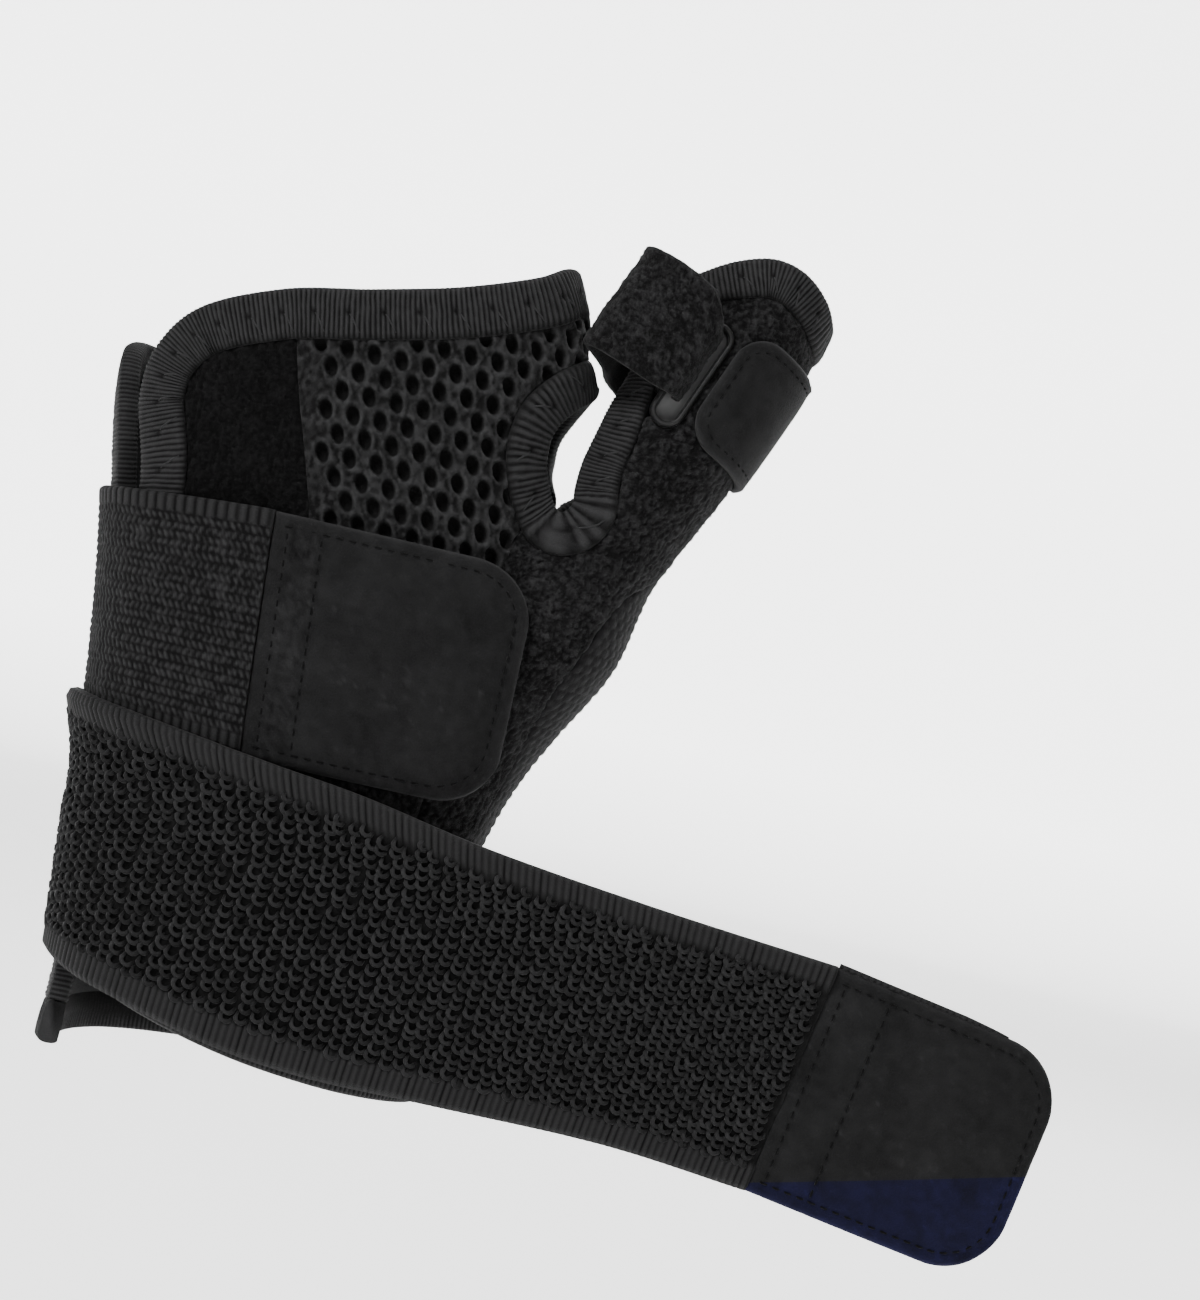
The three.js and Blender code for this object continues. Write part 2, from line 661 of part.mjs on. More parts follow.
function lowerTab() {
  const { length, width, thick, corner, turn, swing } = LOWER_TAB;
  const end = LOWER_FREE[LOWER_FREE.length - 1];
  const half = width / 2;
  const shape = new THREE.Shape();
  shape.moveTo(GAP, -half);
  shape.lineTo(length - corner, -half);
  shape.absarc(length - corner, corner - half, corner, -Math.PI / 2, 0);
  shape.lineTo(length, half - corner);
  shape.absarc(length - corner, half - corner, corner, 0, Math.PI / 2);
  shape.lineTo(GAP, half);
  const geometry = new THREE.ExtrudeGeometry(shape, { depth: thick, bevelEnabled: false, curveSegments: 8 });
  geometry.translate(0, 0, -thick / 2);
  geometry.rotateX(Math.PI / 2);
  geometry.rotateY(rad(turn));
  geometry.rotateZ(rad(swing));
  return geometry.translate(end.x, end.y, (end.top + end.bottom) / 2);
}

// Thumb strap frame: across to the right, out to the front, along the thumb
const strapAlong = vec(0, 0, 1)
  .applyAxisAngle(vec(1, 0, 0), -rad(STRAP_AXIS.tip))
  .applyAxisAngle(vec(0, 1, 0), rad(STRAP_AXIS.lean));
const strapAcross = vec(1, 0, 0).applyAxisAngle(vec(0, 1, 0), rad(STRAP_AXIS.lean));
const strapOut = strapAcross.clone().cross(strapAlong).normalize();
const strapPoint = (across, out, along) =>
  vec(STRAP_AXIS.x, STRAP_AXIS.y, STRAP_AXIS.z)
    .addScaledVector(strapAcross, across)
    .addScaledVector(strapOut, out)
    .addScaledVector(strapAlong, along);

function thumbStrap() {
  const along = 40;
  const rows = STRAP_FOLD.map((row) => ({ ...row }));
  const full = STRAP_FOLD[STRAP_FOLD.length - 1];
  for (let step = 0; step <= 14; step++) {
    const angle = rad(lerp(STRAP_TURN.from, STRAP_TURN.to, step / 14));
    const radius = lerp(STRAP_TURN.start, STRAP_TURN.end, step / 14);
    rows.push({ ...full, across: radius * Math.cos(angle), out: radius * Math.sin(angle) });
  }
  const lines = [0, 0.5, 1].map((u) => {
    const points = rows.map((row) => strapPoint(row.across, row.out, lerp(row.low, row.high, u)));
    return strapFaces(smoothLine(points, along), STRAP_THICK, strapAlong);
  });
  return sheet(2, along, (u, v, face) => lines[Math.round(u * 2)][Math.round(v * along)][face]);
}

function thumbTab() {
  const half = (TAB_TURN.high - TAB_TURN.low) / 2;
  const reach = rad(TAB_TURN.to - TAB_TURN.from) * 17;
  return sheet(14, 4, (u, v, face) => {
    const shape = cornerShape(u, reach - TAB_TURN.corner, TAB_TURN.corner);
    const angle = rad(lerp(TAB_TURN.from, TAB_TURN.to, shape.along / reach));
    const along = TAB_TURN.low + half + (2 * v - 1) * (half - shape.cut);
    const way = strapPoint(Math.cos(angle), Math.sin(angle), 0).sub(strapPoint(0, 0, 0));
    return cast(strapPoint(0, 0, along), way, face ? THUMB_TAB.outer : THUMB_TAB.inner);
  });
}

// Oval slot: a dish with a raised wall, and the hole it needs in the thumb panel
function ovalShape(width, length) {
  const shape = new THREE.Shape();
  shape.absarc(0, (length - width) / 2, width / 2, 0, Math.PI);
  shape.absarc(0, (width - length) / 2, width / 2, Math.PI, 2 * Math.PI);
  return shape;
}

function slotBlock(margin, from, to) {
  const shape = ovalShape(SLOT.width + 2 * margin, SLOT.high - SLOT.low + 2 * margin);
  const settings = { depth: to - from, bevelEnabled: false, curveSegments: 10 };
  const geometry = new THREE.ExtrudeGeometry(shape, settings).translate(0, 0, from);
  const frame = new THREE.Matrix4().makeBasis(strapAcross, strapAlong, strapOut);
  frame.setPosition(strapPoint(SLOT.across, 0, (SLOT.low + SLOT.high) / 2));
  return toSolid(geometry.applyMatrix4(frame));
}

function toSolid(geometry) {
  const mesh = new Solid({
    numProp: 3,
    vertProperties: new Float32Array(geometry.attributes.position.array),
    triVerts: geometry.index
      ? new Uint32Array(geometry.index.array)
      : Uint32Array.from({ length: geometry.attributes.position.count }, (_, k) => k),
  });
  mesh.merge();
  return new Manifold(mesh);
}

function toGeometry(solid) {
  const mesh = solid.getMesh();
  const geometry = new THREE.BufferGeometry();
  geometry.setAttribute("position", new THREE.BufferAttribute(Float32Array.from(mesh.vertProperties), 3));
  geometry.setIndex(new THREE.BufferAttribute(Uint32Array.from(mesh.triVerts), 1));
  return geometry;
}

function slotEyelet() {
  const body = slotBlock(0, SLOT.floor, SLOT.face);
  const hollow = slotBlock(-SLOT.wall, SLOT.floor + 0.6, SLOT.face + 1);
  return toGeometry(body.subtract(hollow));
}

function slottedThumbPanel() {
  return toGeometry(toSolid(thumbPanel()).subtract(slotBlock(0.3, SLOT.floor - 2, SLOT.face + 2)));
}

// Colours, and the finished group
const FLEECE = 0x19191b;
const MESH = 0x1c1c1e;
const BINDING = 0x2b2b2d;
const ELASTIC = 0x232325;
const SUEDE = 0x262628;
const PLASTIC = 0x6a6a6a;

const indexEdge = Math.round(where(flat(HAND, EDGES.outer, 146), "x", INDEX_SIDE));
const pieces = {
  mesh_panel: [meshPanel(), MESH],
  ulnar_loop_patch: [ulnarPatch(), FLEECE],
  wrist_loop_panel: [wristPanel(), FLEECE],
  thumb_loop_panel: [slottedThumbPanel(), FLEECE],
  thumb_back_panel: [thumbBack(), FLEECE],
  side_knit_panel: [knitPanel(), MESH],
  web_panel: [webPanel(), MESH],
  palm_panel: [palmPanel(), MESH],
  dorsal_edge_binding: [tape(EDGES.outer, EDGE_TAPE, 0, indexEdge - 0.3), BINDING],
  palm_edge_binding: [tape(EDGES.outer, EDGE_TAPE, indexEdge), BINDING],
  wrist_binding: [tape(EDGES.wrist, WRIST_TAPE), BINDING],
  thumb_hole_binding: [tape(EDGES.hole, HOLE_TAPE), BINDING],
  thumb_rim_binding: [tape(EDGES.rim, RIM_TAPE), BINDING],
  thumb_slot_eyelet: [slotEyelet(), PLASTIC],
  thumb_strap: [thumbStrap(), FLEECE],
  thumb_strap_tab: [thumbTab(), SUEDE],
  upper_strap: [upperStrap(), ELASTIC],
  upper_strap_tab: [upperTab(), SUEDE],
  lower_strap: [lowerStrap(), ELASTIC],
  lower_strap_tab: [lowerTab(), SUEDE],
};

const sleeve = new THREE.Group();
for (const [name, [geometry, color]] of Object.entries(pieces)) {
  const mesh = new THREE.Mesh(geometry, new THREE.MeshStandardMaterial({ color, roughness: 0.9 }));
  mesh.name = name;
  sleeve.add(mesh);
}

export default sleeve;
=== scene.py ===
from math import cos, pi, radians, sin, tan

import bpy
import numpy as np
from mathutils import Matrix, Vector
from mathutils.geometry import delaunay_2d_cdt


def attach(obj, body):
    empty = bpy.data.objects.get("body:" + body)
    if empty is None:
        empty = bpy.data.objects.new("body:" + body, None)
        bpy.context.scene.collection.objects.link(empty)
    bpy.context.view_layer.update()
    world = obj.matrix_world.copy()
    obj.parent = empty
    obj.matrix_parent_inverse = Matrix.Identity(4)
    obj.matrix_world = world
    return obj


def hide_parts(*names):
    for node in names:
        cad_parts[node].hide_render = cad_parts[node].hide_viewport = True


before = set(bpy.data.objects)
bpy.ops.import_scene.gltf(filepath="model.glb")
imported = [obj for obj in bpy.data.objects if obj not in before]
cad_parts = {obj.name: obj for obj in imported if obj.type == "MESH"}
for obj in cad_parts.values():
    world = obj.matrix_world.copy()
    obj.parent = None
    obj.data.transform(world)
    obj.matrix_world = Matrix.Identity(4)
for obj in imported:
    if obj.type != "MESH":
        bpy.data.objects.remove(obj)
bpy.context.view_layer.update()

MM = 0.001
LEAN = radians(13)  # turn of the picture

# ---- form inside the sleeve, in millimetres
# columns: z, x, y, half width, half depth
HAND = np.array([
    (-45, -1.2, 0, 34.8, 25), (-20, -0.7, 0, 34.1, 24), (5, -1.2, 0, 35.4, 22.5), (30, -1.5, 0, 37, 21.5),
    (60, -2.7, 0, 39.7, 20.5), (95, -6.2, 0, 42.5, 18), (120, -6.5, 0, 41, 16), (140, -9.5, 0, 36, 14.5),
], dtype=float)
THUMB = np.array([
    (10, 17, 0, 10, 10), (45, 30.6, 1, 15, 14.5), (60, 37.6, 1.5, 15.9, 15.5), (78, 43.8, 2, 13.8, 14),
    (101, 54.7, 4, 13.4, 12.8), (125, 64.4, 7, 13.1, 12.2), (150, 71, 10.6, 12.4, 11.4),
], dtype=float)
HAND_POWER = 2.4
THUMB_POWER = 2.0
WEB_BLEND = 8.0
CAST_REACH = 140
# distances from the form to the faces of the panels and tapes
PANEL_IN, PANEL_OUT = 0.4, 3.2
TAPE_MIDDLE, TAPE_OUT = 2.1, 4.1

# edges of the sleeve: angle round the form, z
OUTER_EDGE = [
    (146, -10.4), (146, 40), (142, 78), (145, 92), (142, 101), (132, 110), (110, 118), (88, 122), (66, 126.5),
    (42, 132), (19, 135.6), (-3, 135), (-24, 131), (-46, 123), (-70, 113), (-100, 106), (-140, 103), (-172, 103),
    (-192, 100), (-203, 91), (-206, 78), (-204, 40), (-204, -27.4),
]
WRIST_EDGE = [
    (146, -19), (120, -23.5), (90, -28), (60, -30.5), (20, -32), (-40, -33), (-100, -34), (-150, -35.5),
    (-185, -36), (-204, -36),
]
HOLE_THUMB = [(172, 129.4), (166, 122), (155, 113), (144, 105), (136, 98), (127, 93)]
HOLE_HAND = [
    (41, -12.5, 90), (39.5, -12.5, 88.3), (38, -12.5, 89.8), (36.8, -13, 92.5), (35.6, -13.4, 97),
    (35.8, -12.4, 103), (37.8, -7, 108.5), (38.6, 0, 110.5),
]
THUMB_RIM = [
    (172, 139), (145, 141.5), (118, 145), (93, 147), (69, 146), (39, 142), (15, 138.5), (-30, 137), (-90, 137.5),
    (-140, 138.5), (-172, 139),
]
EDGE_TAPE, HOLE_TAPE, RIM_TAPE, WRIST_TAPE = 9.5, 8.2, 7.5, 8.0


def clamp(v):
    return np.clip(v, 0, 1)


def together(*values):
    """The values as arrays of one shape."""
    return np.broadcast_arrays(*(np.asarray(v, float) for v in values))


def column(keys, values, at):
    """Value between the rows of a table, smooth through them."""
    at = np.asarray(at, dtype=float)
    last = len(keys) - 1
    way = 1.0 if keys[-1] > keys[0] else -1.0
    i = np.clip(np.searchsorted(way * keys, way * at) - 1, 0, last - 1)
    before, after = np.clip(i - 1, 0, last), np.clip(i + 2, 0, last)
    span = keys[i + 1] - keys[i]
    t = clamp((at - keys[i]) / span)
    start = (values[i + 1] - values[before]) / (keys[i + 1] - keys[before]) * span
    end = (values[after] - values[i]) / (keys[after] - keys[i]) * span
    gain = values[i + 1] - values[i]
    return values[i] + start * t + (3 * gain - 2 * start - end) * t * t + (start + end - 2 * gain) * t ** 3


def section(table, z):
    return [column(table[:, 0], table[:, k], z) for k in (1, 2, 3, 4)]


def oval_distance(table, power, p):
    x, y, width, depth = section(table, p[..., 2])
    u = np.abs(p[..., 0] - x) / width + 1e-9
    v = np.abs(p[..., 1] - y) / depth + 1e-9
    size = (u ** power + v ** power) ** (1 / power)
    slope = np.hypot(u ** (power - 1) / width, v ** (power - 1) / depth) * size ** (1 - power)
    return (size - 1) / slope


def form(p):
    """Distance outside the hand and thumb together."""
    hand = oval_distance(HAND, HAND_POWER, p)
    thumb = oval_distance(THUMB, THUMB_POWER, p)
    near = np.maximum(WEB_BLEND - np.abs(hand - thumb), 0) / WEB_BLEND
    return np.minimum(hand, thumb) - near * near * WEB_BLEND / 4


def unit(v):
    return v / np.maximum(np.linalg.norm(v, axis=-1, keepdims=True), 1e-12)


def normal(p):
    step = 0.05
    rise = [form(p + step * axis) - form(p - step * axis) for axis in np.eye(3)]
    return unit(np.stack(rise, axis=-1))


def snap(p, distance, turns=7):
    """Nearest points at a given distance from the form."""
    q = np.array(p, dtype=float)
    distance = np.broadcast_to(distance, q.shape[:-1])
    for _ in range(turns):
        q += normal(q) * (distance - form(q))[..., None]
    return q


def close_in(low, high, below, turns):
    """Halves the span between two bounds of where below turns false."""
    for _ in range(turns):
        middle = (low + high) / 2
        less = below(middle)
        low, high = np.where(less, middle, low), np.where(less, high, middle)
    return low, high


def cast(start, way, distance):
    """First point at that distance along each ray, all starting inside the form."""
    start, way = together(start, way)
    shape = start.shape
    start, way = start.reshape(-1, 3), way.reshape(-1, 3)
    distance = np.broadcast_to(distance, shape[:-1]).reshape(-1)
    far = np.full(len(start), float(CAST_REACH))
    open_ = np.arange(len(start))
    for t in range(1, CAST_REACH):
        out = form(start[open_] + way[open_] * t) >= distance[open_]
        far[open_[out]] = t
        open_ = open_[~out]
        if not len(open_):
            break
    far = close_in(far - 1, far, lambda t: form(start + way * t[:, None]) < distance, 18)[1]
    return (start + way * far[:, None]).reshape(shape)


def ring_point(table, angle, z, distance):
    """Points on level sections: angle 0 thumb side, 90 back of the hand, 180 little-finger side."""
    angle, z = together(np.radians(angle), z)
    x, y, width, depth = section(table, z)
    way = unit(np.stack([width * np.cos(angle), -depth * np.sin(angle), 0 * z], axis=-1))
    return cast(np.stack([x, y, z], axis=-1), way, distance)


def ring_angle(table, p):
    x, y, width, depth = section(table, p[..., 2])
    return np.degrees(np.arctan2((y - p[..., 1]) / depth, (p[..., 0] - x) / width))


def face_point(x, z, distance):
    """Points on the back of the hand, straight out toward the camera's side."""
    x, z = together(x, z)
    return cast(np.stack([x, 0 * x, z], axis=-1), np.array([0.0, -1.0, 0.0]), distance)


# ---- lines
def smooth_spans(points, steps):
    """Smooth line through points, with the same number of steps in each span."""
    points = np.asarray(points, dtype=float)
    p = np.vstack([2 * points[0] - points[1], points, 2 * points[-1] - points[-2]])
    t = np.linspace(0, 1, steps, endpoint=False)[:, None]
    out = []
    for i in range(1, len(p) - 2):
        d0, d1, d2 = [max(np.linalg.norm(p[k + 1] - p[k]) ** 0.5, 1e-4) for k in (i - 1, i, i + 1)]
        a, b, c, d = p[i - 1], p[i], p[i + 1], p[i + 2]
        t1 = ((b - a) / d0 - (c - a) / (d0 + d1) + (c - b) / d1) * d1
        t2 = ((c - b) / d1 - (d - b) / (d1 + d2) + (d - c) / d2) * d1
        out.append(b + t1 * t + (-3 * b + 3 * c - 2 * t1 - t2) * t ** 2 + (2 * b - 2 * c + t1 + t2) * t ** 3)
    return np.vstack(out + [points[-1:]])


def lengths(line):
    return np.concatenate([[0], np.cumsum(np.linalg.norm(np.diff(line, axis=0), axis=1))])


def points_at(line, run, at):
    """Points at given distances along a line."""
    return np.stack([np.interp(at, run, line[:, k]) for k in range(line.shape[1])], axis=1)


def even(line, step=None, count=None):
    """The same line in equal steps."""
    run = lengths(line)
    count = count or max(int(round(run[-1] / step)), 2)
    return points_at(line, run, np.linspace(0, run[-1], count + 1))


def side_way(line):
    """Direction to the right of a line on the form, seen from outside."""
    along = np.gradient(line, axis=0)
    return unit(np.cross(along, normal(line)))


# ---- noise
def lattice(p, seed):
    """Repeatable value between 0 and 1 for whole-number points."""
    q = p.astype(np.int64)
    h = q[..., 0] * 374761393 + q[..., 1] * 668265263 + q[..., 2] * 2147483647 + seed * 974634077
    h = (h ^ (h >> 13)) * 1274126177
    h = h ^ (h >> 16)
    return (h & 0xFFFFFF) / float(0xFFFFFF)


def grain(p, size, seed=0):
    """Smooth noise between -1 and 1 with lumps of a given size."""
    q = np.asarray(p, float) / size
    base = np.floor(q)
    f = q - base
    f = f * f * (3 - 2 * f)
    total = 0.0
    for dx in (0, 1):
        for dy in (0, 1):
            for dz in (0, 1):
                w = (f[..., 0] if dx else 1 - f[..., 0]) * (f[..., 1] if dy else 1 - f[..., 1])
                w = w * (f[..., 2] if dz else 1 - f[..., 2])
                total = total + w * lattice(base + np.array([dx, dy, dz]), seed)
    return 2 * total - 1


# ---- meshes
def placed(name, data):
    obj = bpy.data.objects.new(name, data)
    bpy.context.scene.collection.objects.link(obj)
    return obj


def mesh_object(name, points, faces, layer, values, material):
    """A smooth mesh with a value stored on each point."""
    mesh = bpy.data.meshes.new(name)
    mesh.from_pydata(points, [], faces)
    mesh.validate()
    stored_values = mesh.attributes.new(layer, "FLOAT", "POINT").data
    stored_values.foreach_set("value", np.asarray(values, dtype=np.float32))
    mesh.polygons.foreach_set("use_smooth", [True] * len(mesh.polygons))
    mesh.materials.append(material)
    mesh.update()
    return placed(name, mesh)


def make(name, part, material, node):
    """The piece that stands for a CAD node, from points in millimetres, faces and a tone for each point."""
    points, faces, tone = part
    obj = mesh_object(name, (points * MM).tolist(), faces, "tone", tone, material)
    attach(obj, "root")
    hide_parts(node)
    return obj


def join_parts(parts):
    """Several (points, faces, tone) as one."""
    points, faces, tones, start = [], [], [], 0
    for p, f, t in parts:
        points.append(p)
        tones.append(np.broadcast_to(t, len(p)))
        faces += [tuple(k + start for k in face) for face in f]
        start += len(p)
    return np.vstack(points), faces, np.concatenate(tones)


def loft(rings):
    """Faces between closed rings of points, rings[m, k, 3], with the two ends capped."""
    m, k = rings.shape[:2]
    ids = np.arange(m * k).reshape(m, k)
    a, b = ids[:-1], ids[1:]
    quads = np.stack([a, np.roll(a, -1, axis=1), np.roll(b, -1, axis=1), b], axis=-1).reshape(-1, 4)
    return rings.reshape(-1, 3), quads.tolist() + [ids[0][::-1].tolist(), ids[-1].tolist()]


# ---- skin: the form's surface laid flat
SKIN_STEP = 2.0
CHUNK = 2000  # points handled at once


class Skin:
    """A form's surface by angle and height, with the distance round it."""

    def __init__(self, table, low, high, first, last):
        self.table = table
        self.angles = np.arange(first, last + 1, SKIN_STEP)
        self.heights = np.arange(low, high + 1, SKIN_STEP)
        self.grid = ring_point(table, self.angles[None, :], self.heights[:, None], TAPE_MIDDLE + 1)
        step = np.linalg.norm(np.diff(self.grid[..., :2], axis=1), axis=-1)
        self.total = np.concatenate([np.zeros((len(step), 1)), np.cumsum(step, axis=1)], axis=1)
        self.run = self.total

    def start(self, angle):
        """Measures the distance round from this angle."""
        zero = np.argmin(np.abs(self.angles - angle))
        self.run = self.total - self.total[:, zero:zero + 1]

    def look(self, values, angle, z):
        i = np.clip((angle - self.angles[0]) / SKIN_STEP, 0, len(self.angles) - 1.001)
        j = np.clip((z - self.heights[0]) / SKIN_STEP, 0, len(self.heights) - 1.001)
        a, b = i.astype(int), j.astype(int)
        f, g = i - a, j - b
        if values.ndim == 3:
            f, g = f[..., None], g[..., None]
        low = values[b, a] * (1 - f) + values[b, a + 1] * f
        high = values[b + 1, a] * (1 - f) + values[b + 1, a + 1] * f
        return low * (1 - g) + high * g

    def lay(self, p, middle):
        """Points laid flat: distance round, height."""
        angle = ring_angle(self.table, p)
        angle = angle + 360 * np.round((middle - angle) / 360)
        return np.stack([self.look(self.run, angle, p[..., 2]), p[..., 2]], axis=-1)

    def raise_(self, flat):
        """Flat points back on the form."""
        s, z = flat[..., 0], flat[..., 1]
        low, high = (np.full(s.shape, angle) for angle in self.angles[[0, -1]])
        angle = close_in(low, high, lambda at: self.look(self.run, at, z) < s, 22)[0]
        p = self.look(self.grid, angle, z)
        p[..., 2] = z
        return p


HAND_SKIN = Skin(HAND, -40, 142, -214, 156)
THUMB_SKIN = Skin(THUMB, -36, 152, -190, 190)


def around(ids):
    """The sides of a face, as pairs."""
    return zip(ids, ids[1:] + ids[:1])


def trace(follow, first):
    """Loops from a table of the next point after each, longest first. first says where each starts."""
    loops = []
    while follow:
        start = list(follow)[first]
        loop, at = [start], follow.pop(start)
        while at != start and at in follow:
            loop.append(at)
            at = follow.pop(at)
        loops.append(loop)
    return sorted(loops, key=len, reverse=True)


def cad_loops(node):
    """Border loops of a CAD node's outer face."""
    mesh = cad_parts[node].data
    p = np.array([v.co for v in mesh.vertices]) / MM
    first, same = np.unique(np.round(p, 3), axis=0, return_index=True, return_inverse=True)[1:]
    p = p[first]
    same = same.ravel()
    outer = form(p) > (PANEL_IN + PANEL_OUT) / 2
    half = {}
    for poly in mesh.polygons:
        ids = [same[k] for k in poly.vertices]
        if all(outer[k] for k in ids):
            for a, b in around(ids):
                half[(a, b)] = True
    follow = {a: b for a, b in half if (b, a) not in half}
    return [p[loop] for loop in trace(follow, 0)]


def closed_even(loop, step):
    """A closed line in equal steps."""
    line = np.vstack([loop, loop[:1]])
    run = lengths(line)
    return points_at(line, run, np.linspace(0, run[-1], max(int(run[-1] / step), 8), endpoint=False))


def grown(loop, by):
    """A flat loop moved outward."""
    along = np.roll(loop, -1, axis=0) - np.roll(loop, 1, axis=0)
    out = unit(np.stack([along[:, 1], -along[:, 0]], axis=1))
    nxt = np.roll(loop, -1, axis=0)
    area = np.sum(loop[:, 0] * nxt[:, 1] - loop[:, 1] * nxt[:, 0])
    return loop + out * by * np.sign(area)


def inside(points, loops):
    odd = np.zeros(len(points), dtype=bool)
    x, y = points[:, 0], points[:, 1]
    for loop in loops:
        nxt = np.roll(loop, -1, axis=0)
        for (x0, y0), (x1, y1) in zip(loop, nxt):
            if y0 == y1:
                continue
            cross = ((y0 > y) != (y1 > y)) & (x < (x1 - x0) * (y - y0) / (y1 - y0) + x0)
            odd ^= cross
    return odd


def least(points, others, measure):
    """The least measure of the ways from the others to each point."""
    out = np.empty(len(points))
    for k in range(0, len(points), CHUNK):
        out[k:k + CHUNK] = measure(points[k:k + CHUNK, None] - others[None]).min(1)
    return out


def edge_distance(points, loops):
    border = np.vstack([closed_even(loop, 0.5) for loop in loops])
    return np.sqrt(least(points, border, lambda way: (way ** 2).sum(-1)))


def fill(loops, spacing, rings=(), keep=None):
    """Even triangles inside flat border loops, and the new number of each border point.

    rings are further closed lines that the triangles follow, keep picks the points of the even field.
    """
    everything = np.vstack(loops)
    low, high = everything.min(0), everything.max(0)
    rows = np.arange(low[1], high[1], spacing * 0.866)
    field = np.array([(x + (k % 2) * spacing / 2, y) for k, y in enumerate(rows)
                      for x in np.arange(low[0], high[0], spacing)])
    field = field[inside(field, loops)]
    field = field[edge_distance(field, loops) > 0.55 * spacing]
    if keep is not None:
        field = field[keep(field)]
    points, edges, start = [], [], 0
    for line in list(loops) + list(rings):
        n = len(line)
        points.append(line)
        edges += [(start + k, start + (k + 1) % n) for k in range(n)]
        start += n
    border = sum(len(line) for line in loops)
    points = np.vstack(points + [field])
    verts, _, faces, orig, _, _ = delaunay_2d_cdt([Vector(p) for p in points.tolist()], edges, [], 0, 1e-6)
    flat = np.array([tuple(v) for v in verts])
    faces = np.array([tuple(f) for f in faces])
    faces = faces[inside(flat[faces].mean(axis=1), loops)]
    place = np.full(border, -1)
    for k, sources in enumerate(orig):
        for source in sources:
            if source < border:
                place[source] = k
    return flat, faces, place


def tidy_border(faces):
    """The largest joined area of triangles, with no corner that two borders share, and its border loops."""
    faces = [tuple(f) for f in faces.tolist()]
    while True:
        sides = {}
        for k, f in enumerate(faces):
            for a, b in around(f):
                sides[(a, b)] = k
        seen, best = set(), []
        for first in range(len(faces)):
            if first in seen:
                continue
            group, todo = [], [first]
            seen.add(first)
            while todo:
                k = todo.pop()
                group.append(k)
                f = faces[k]
                for a, b in around(f):
                    other = sides.get((b, a))
                    if other is not None and other not in seen:
                        seen.add(other)
                        todo.append(other)
            best = max(best, group, key=len)
        faces = [faces[k] for k in sorted(best)]
        half = {(a, b) for f in faces for a, b in around(f)}
        border = [(a, b) for a, b in sorted(half) if (b, a) not in half]
        starts = [a for a, b in border]
        if len(set(starts)) == len(starts):
            break
        shared = {a for a in starts if starts.count(a) > 1}
        faces = [f for f in faces if not shared & set(f)]
    return np.array(faces), trace(dict(border), -1)


# how far a panel is drawn out to close its seams, the palm panel's own, and the tone of the plain inner faces
SEAM_CLOSE, PALM_CLOSE, INNER_TONE = 0.36, 0.65, 0.35


def panel_part(node, skin, middle, spacing, height, step=None, rings=None, keep=None, inner=5.0,
               close=SEAM_CLOSE):
    """A panel in the outline of its CAD node: a detailed outer face, a plain inner one, and a wall between."""
    skin.start(middle)
    loops = [closed_even(skin.lay(loop, middle), step or spacing) for loop in cad_loops(node)]
    loops[0] = grown(loops[0], close)
    flat, faces = fill(loops, spacing, rings(loops) if rings else (), keep)[:2]
    faces, border = tidy_border(faces)
    edge = edge_distance(flat, loops)
    edge[np.concatenate(border)] = 0
    base = skin.raise_(flat)
    rise, tone = height(flat, edge, base)
    outer = snap(base, PANEL_OUT + rise)
    flat_in, faces_in, place_in = fill([flat[loop] for loop in border], inner)
    under = snap(skin.raise_(flat_in), PANEL_IN)
    faces_in = faces_in[:, ::-1] + len(outer)
    walls, start = [], 0
    for loop in border:
        for k in range(len(loop)):
            n = (k + 1) % len(loop)
            ia, ib = int(place_in[start + k]) + len(outer), int(place_in[start + n]) + len(outer)
            walls.append((loop[n], loop[k], ia, ib))
        start += len(loop)
    turn = np.cross(outer[faces[:, 1]] - outer[faces[:, 0]], outer[faces[:, 2]] - outer[faces[:, 0]])
    every = faces.tolist() + faces_in.tolist() + walls
    if np.sum(turn * normal(outer[faces].mean(axis=1))) < 0:
        every = [f[::-1] for f in every]
    tones = np.concatenate([np.broadcast_to(tone, len(outer)), np.full(len(under), INNER_TONE)])
    return used_points(np.vstack([outer, under]), every, tones)


def used_points(points, faces, tones):
    """The same faces without the points that none of them uses."""
    ids = sorted({k for f in faces for k in f})
    new = {k: n for n, k in enumerate(ids)}
    return points[ids], [tuple(new[k] for k in f) for f in faces], tones[ids]


# ---- edge tapes
def on_form(rows):
    return snap(np.array(rows, dtype=float), TAPE_MIDDLE, 12)


def on_ring(table, rows):
    rows = np.array(rows, dtype=float)
    return ring_point(table, rows[:, 0], rows[:, 1], TAPE_MIDDLE)


mirror_angle = [(-a, z) for a, z in HOLE_THUMB]
mirror_depth = [(x, -y, z) for x, y, z in HOLE_HAND[:-1]]
hole_front = np.vstack([on_ring(THUMB, HOLE_THUMB), on_form(HOLE_HAND)])
hole_back = np.vstack([on_ring(THUMB, mirror_angle), on_form(mirror_depth)])
EDGES = {
    "outer": smooth_spans(on_ring(HAND, OUTER_EDGE), 16),
    "wrist": smooth_spans(on_ring(HAND, WRIST_EDGE), 16)[::-1],
    "hole": smooth_spans(np.vstack([hole_back, hole_front[::-1]]), 12),
    "rim": smooth_spans(on_ring(THUMB, THUMB_RIM), 12),
}
# spacing of the tapes' ribs and needle holes, and the width taken up by their fold
RIB, STITCH, FOLD = 0.95, 6.6, 0.9


def rib_wave(run, pitch):
    """Rounded ribs with narrow grooves, 0 to 1."""
    return np.abs(np.cos(pi * run / pitch)) ** 0.6


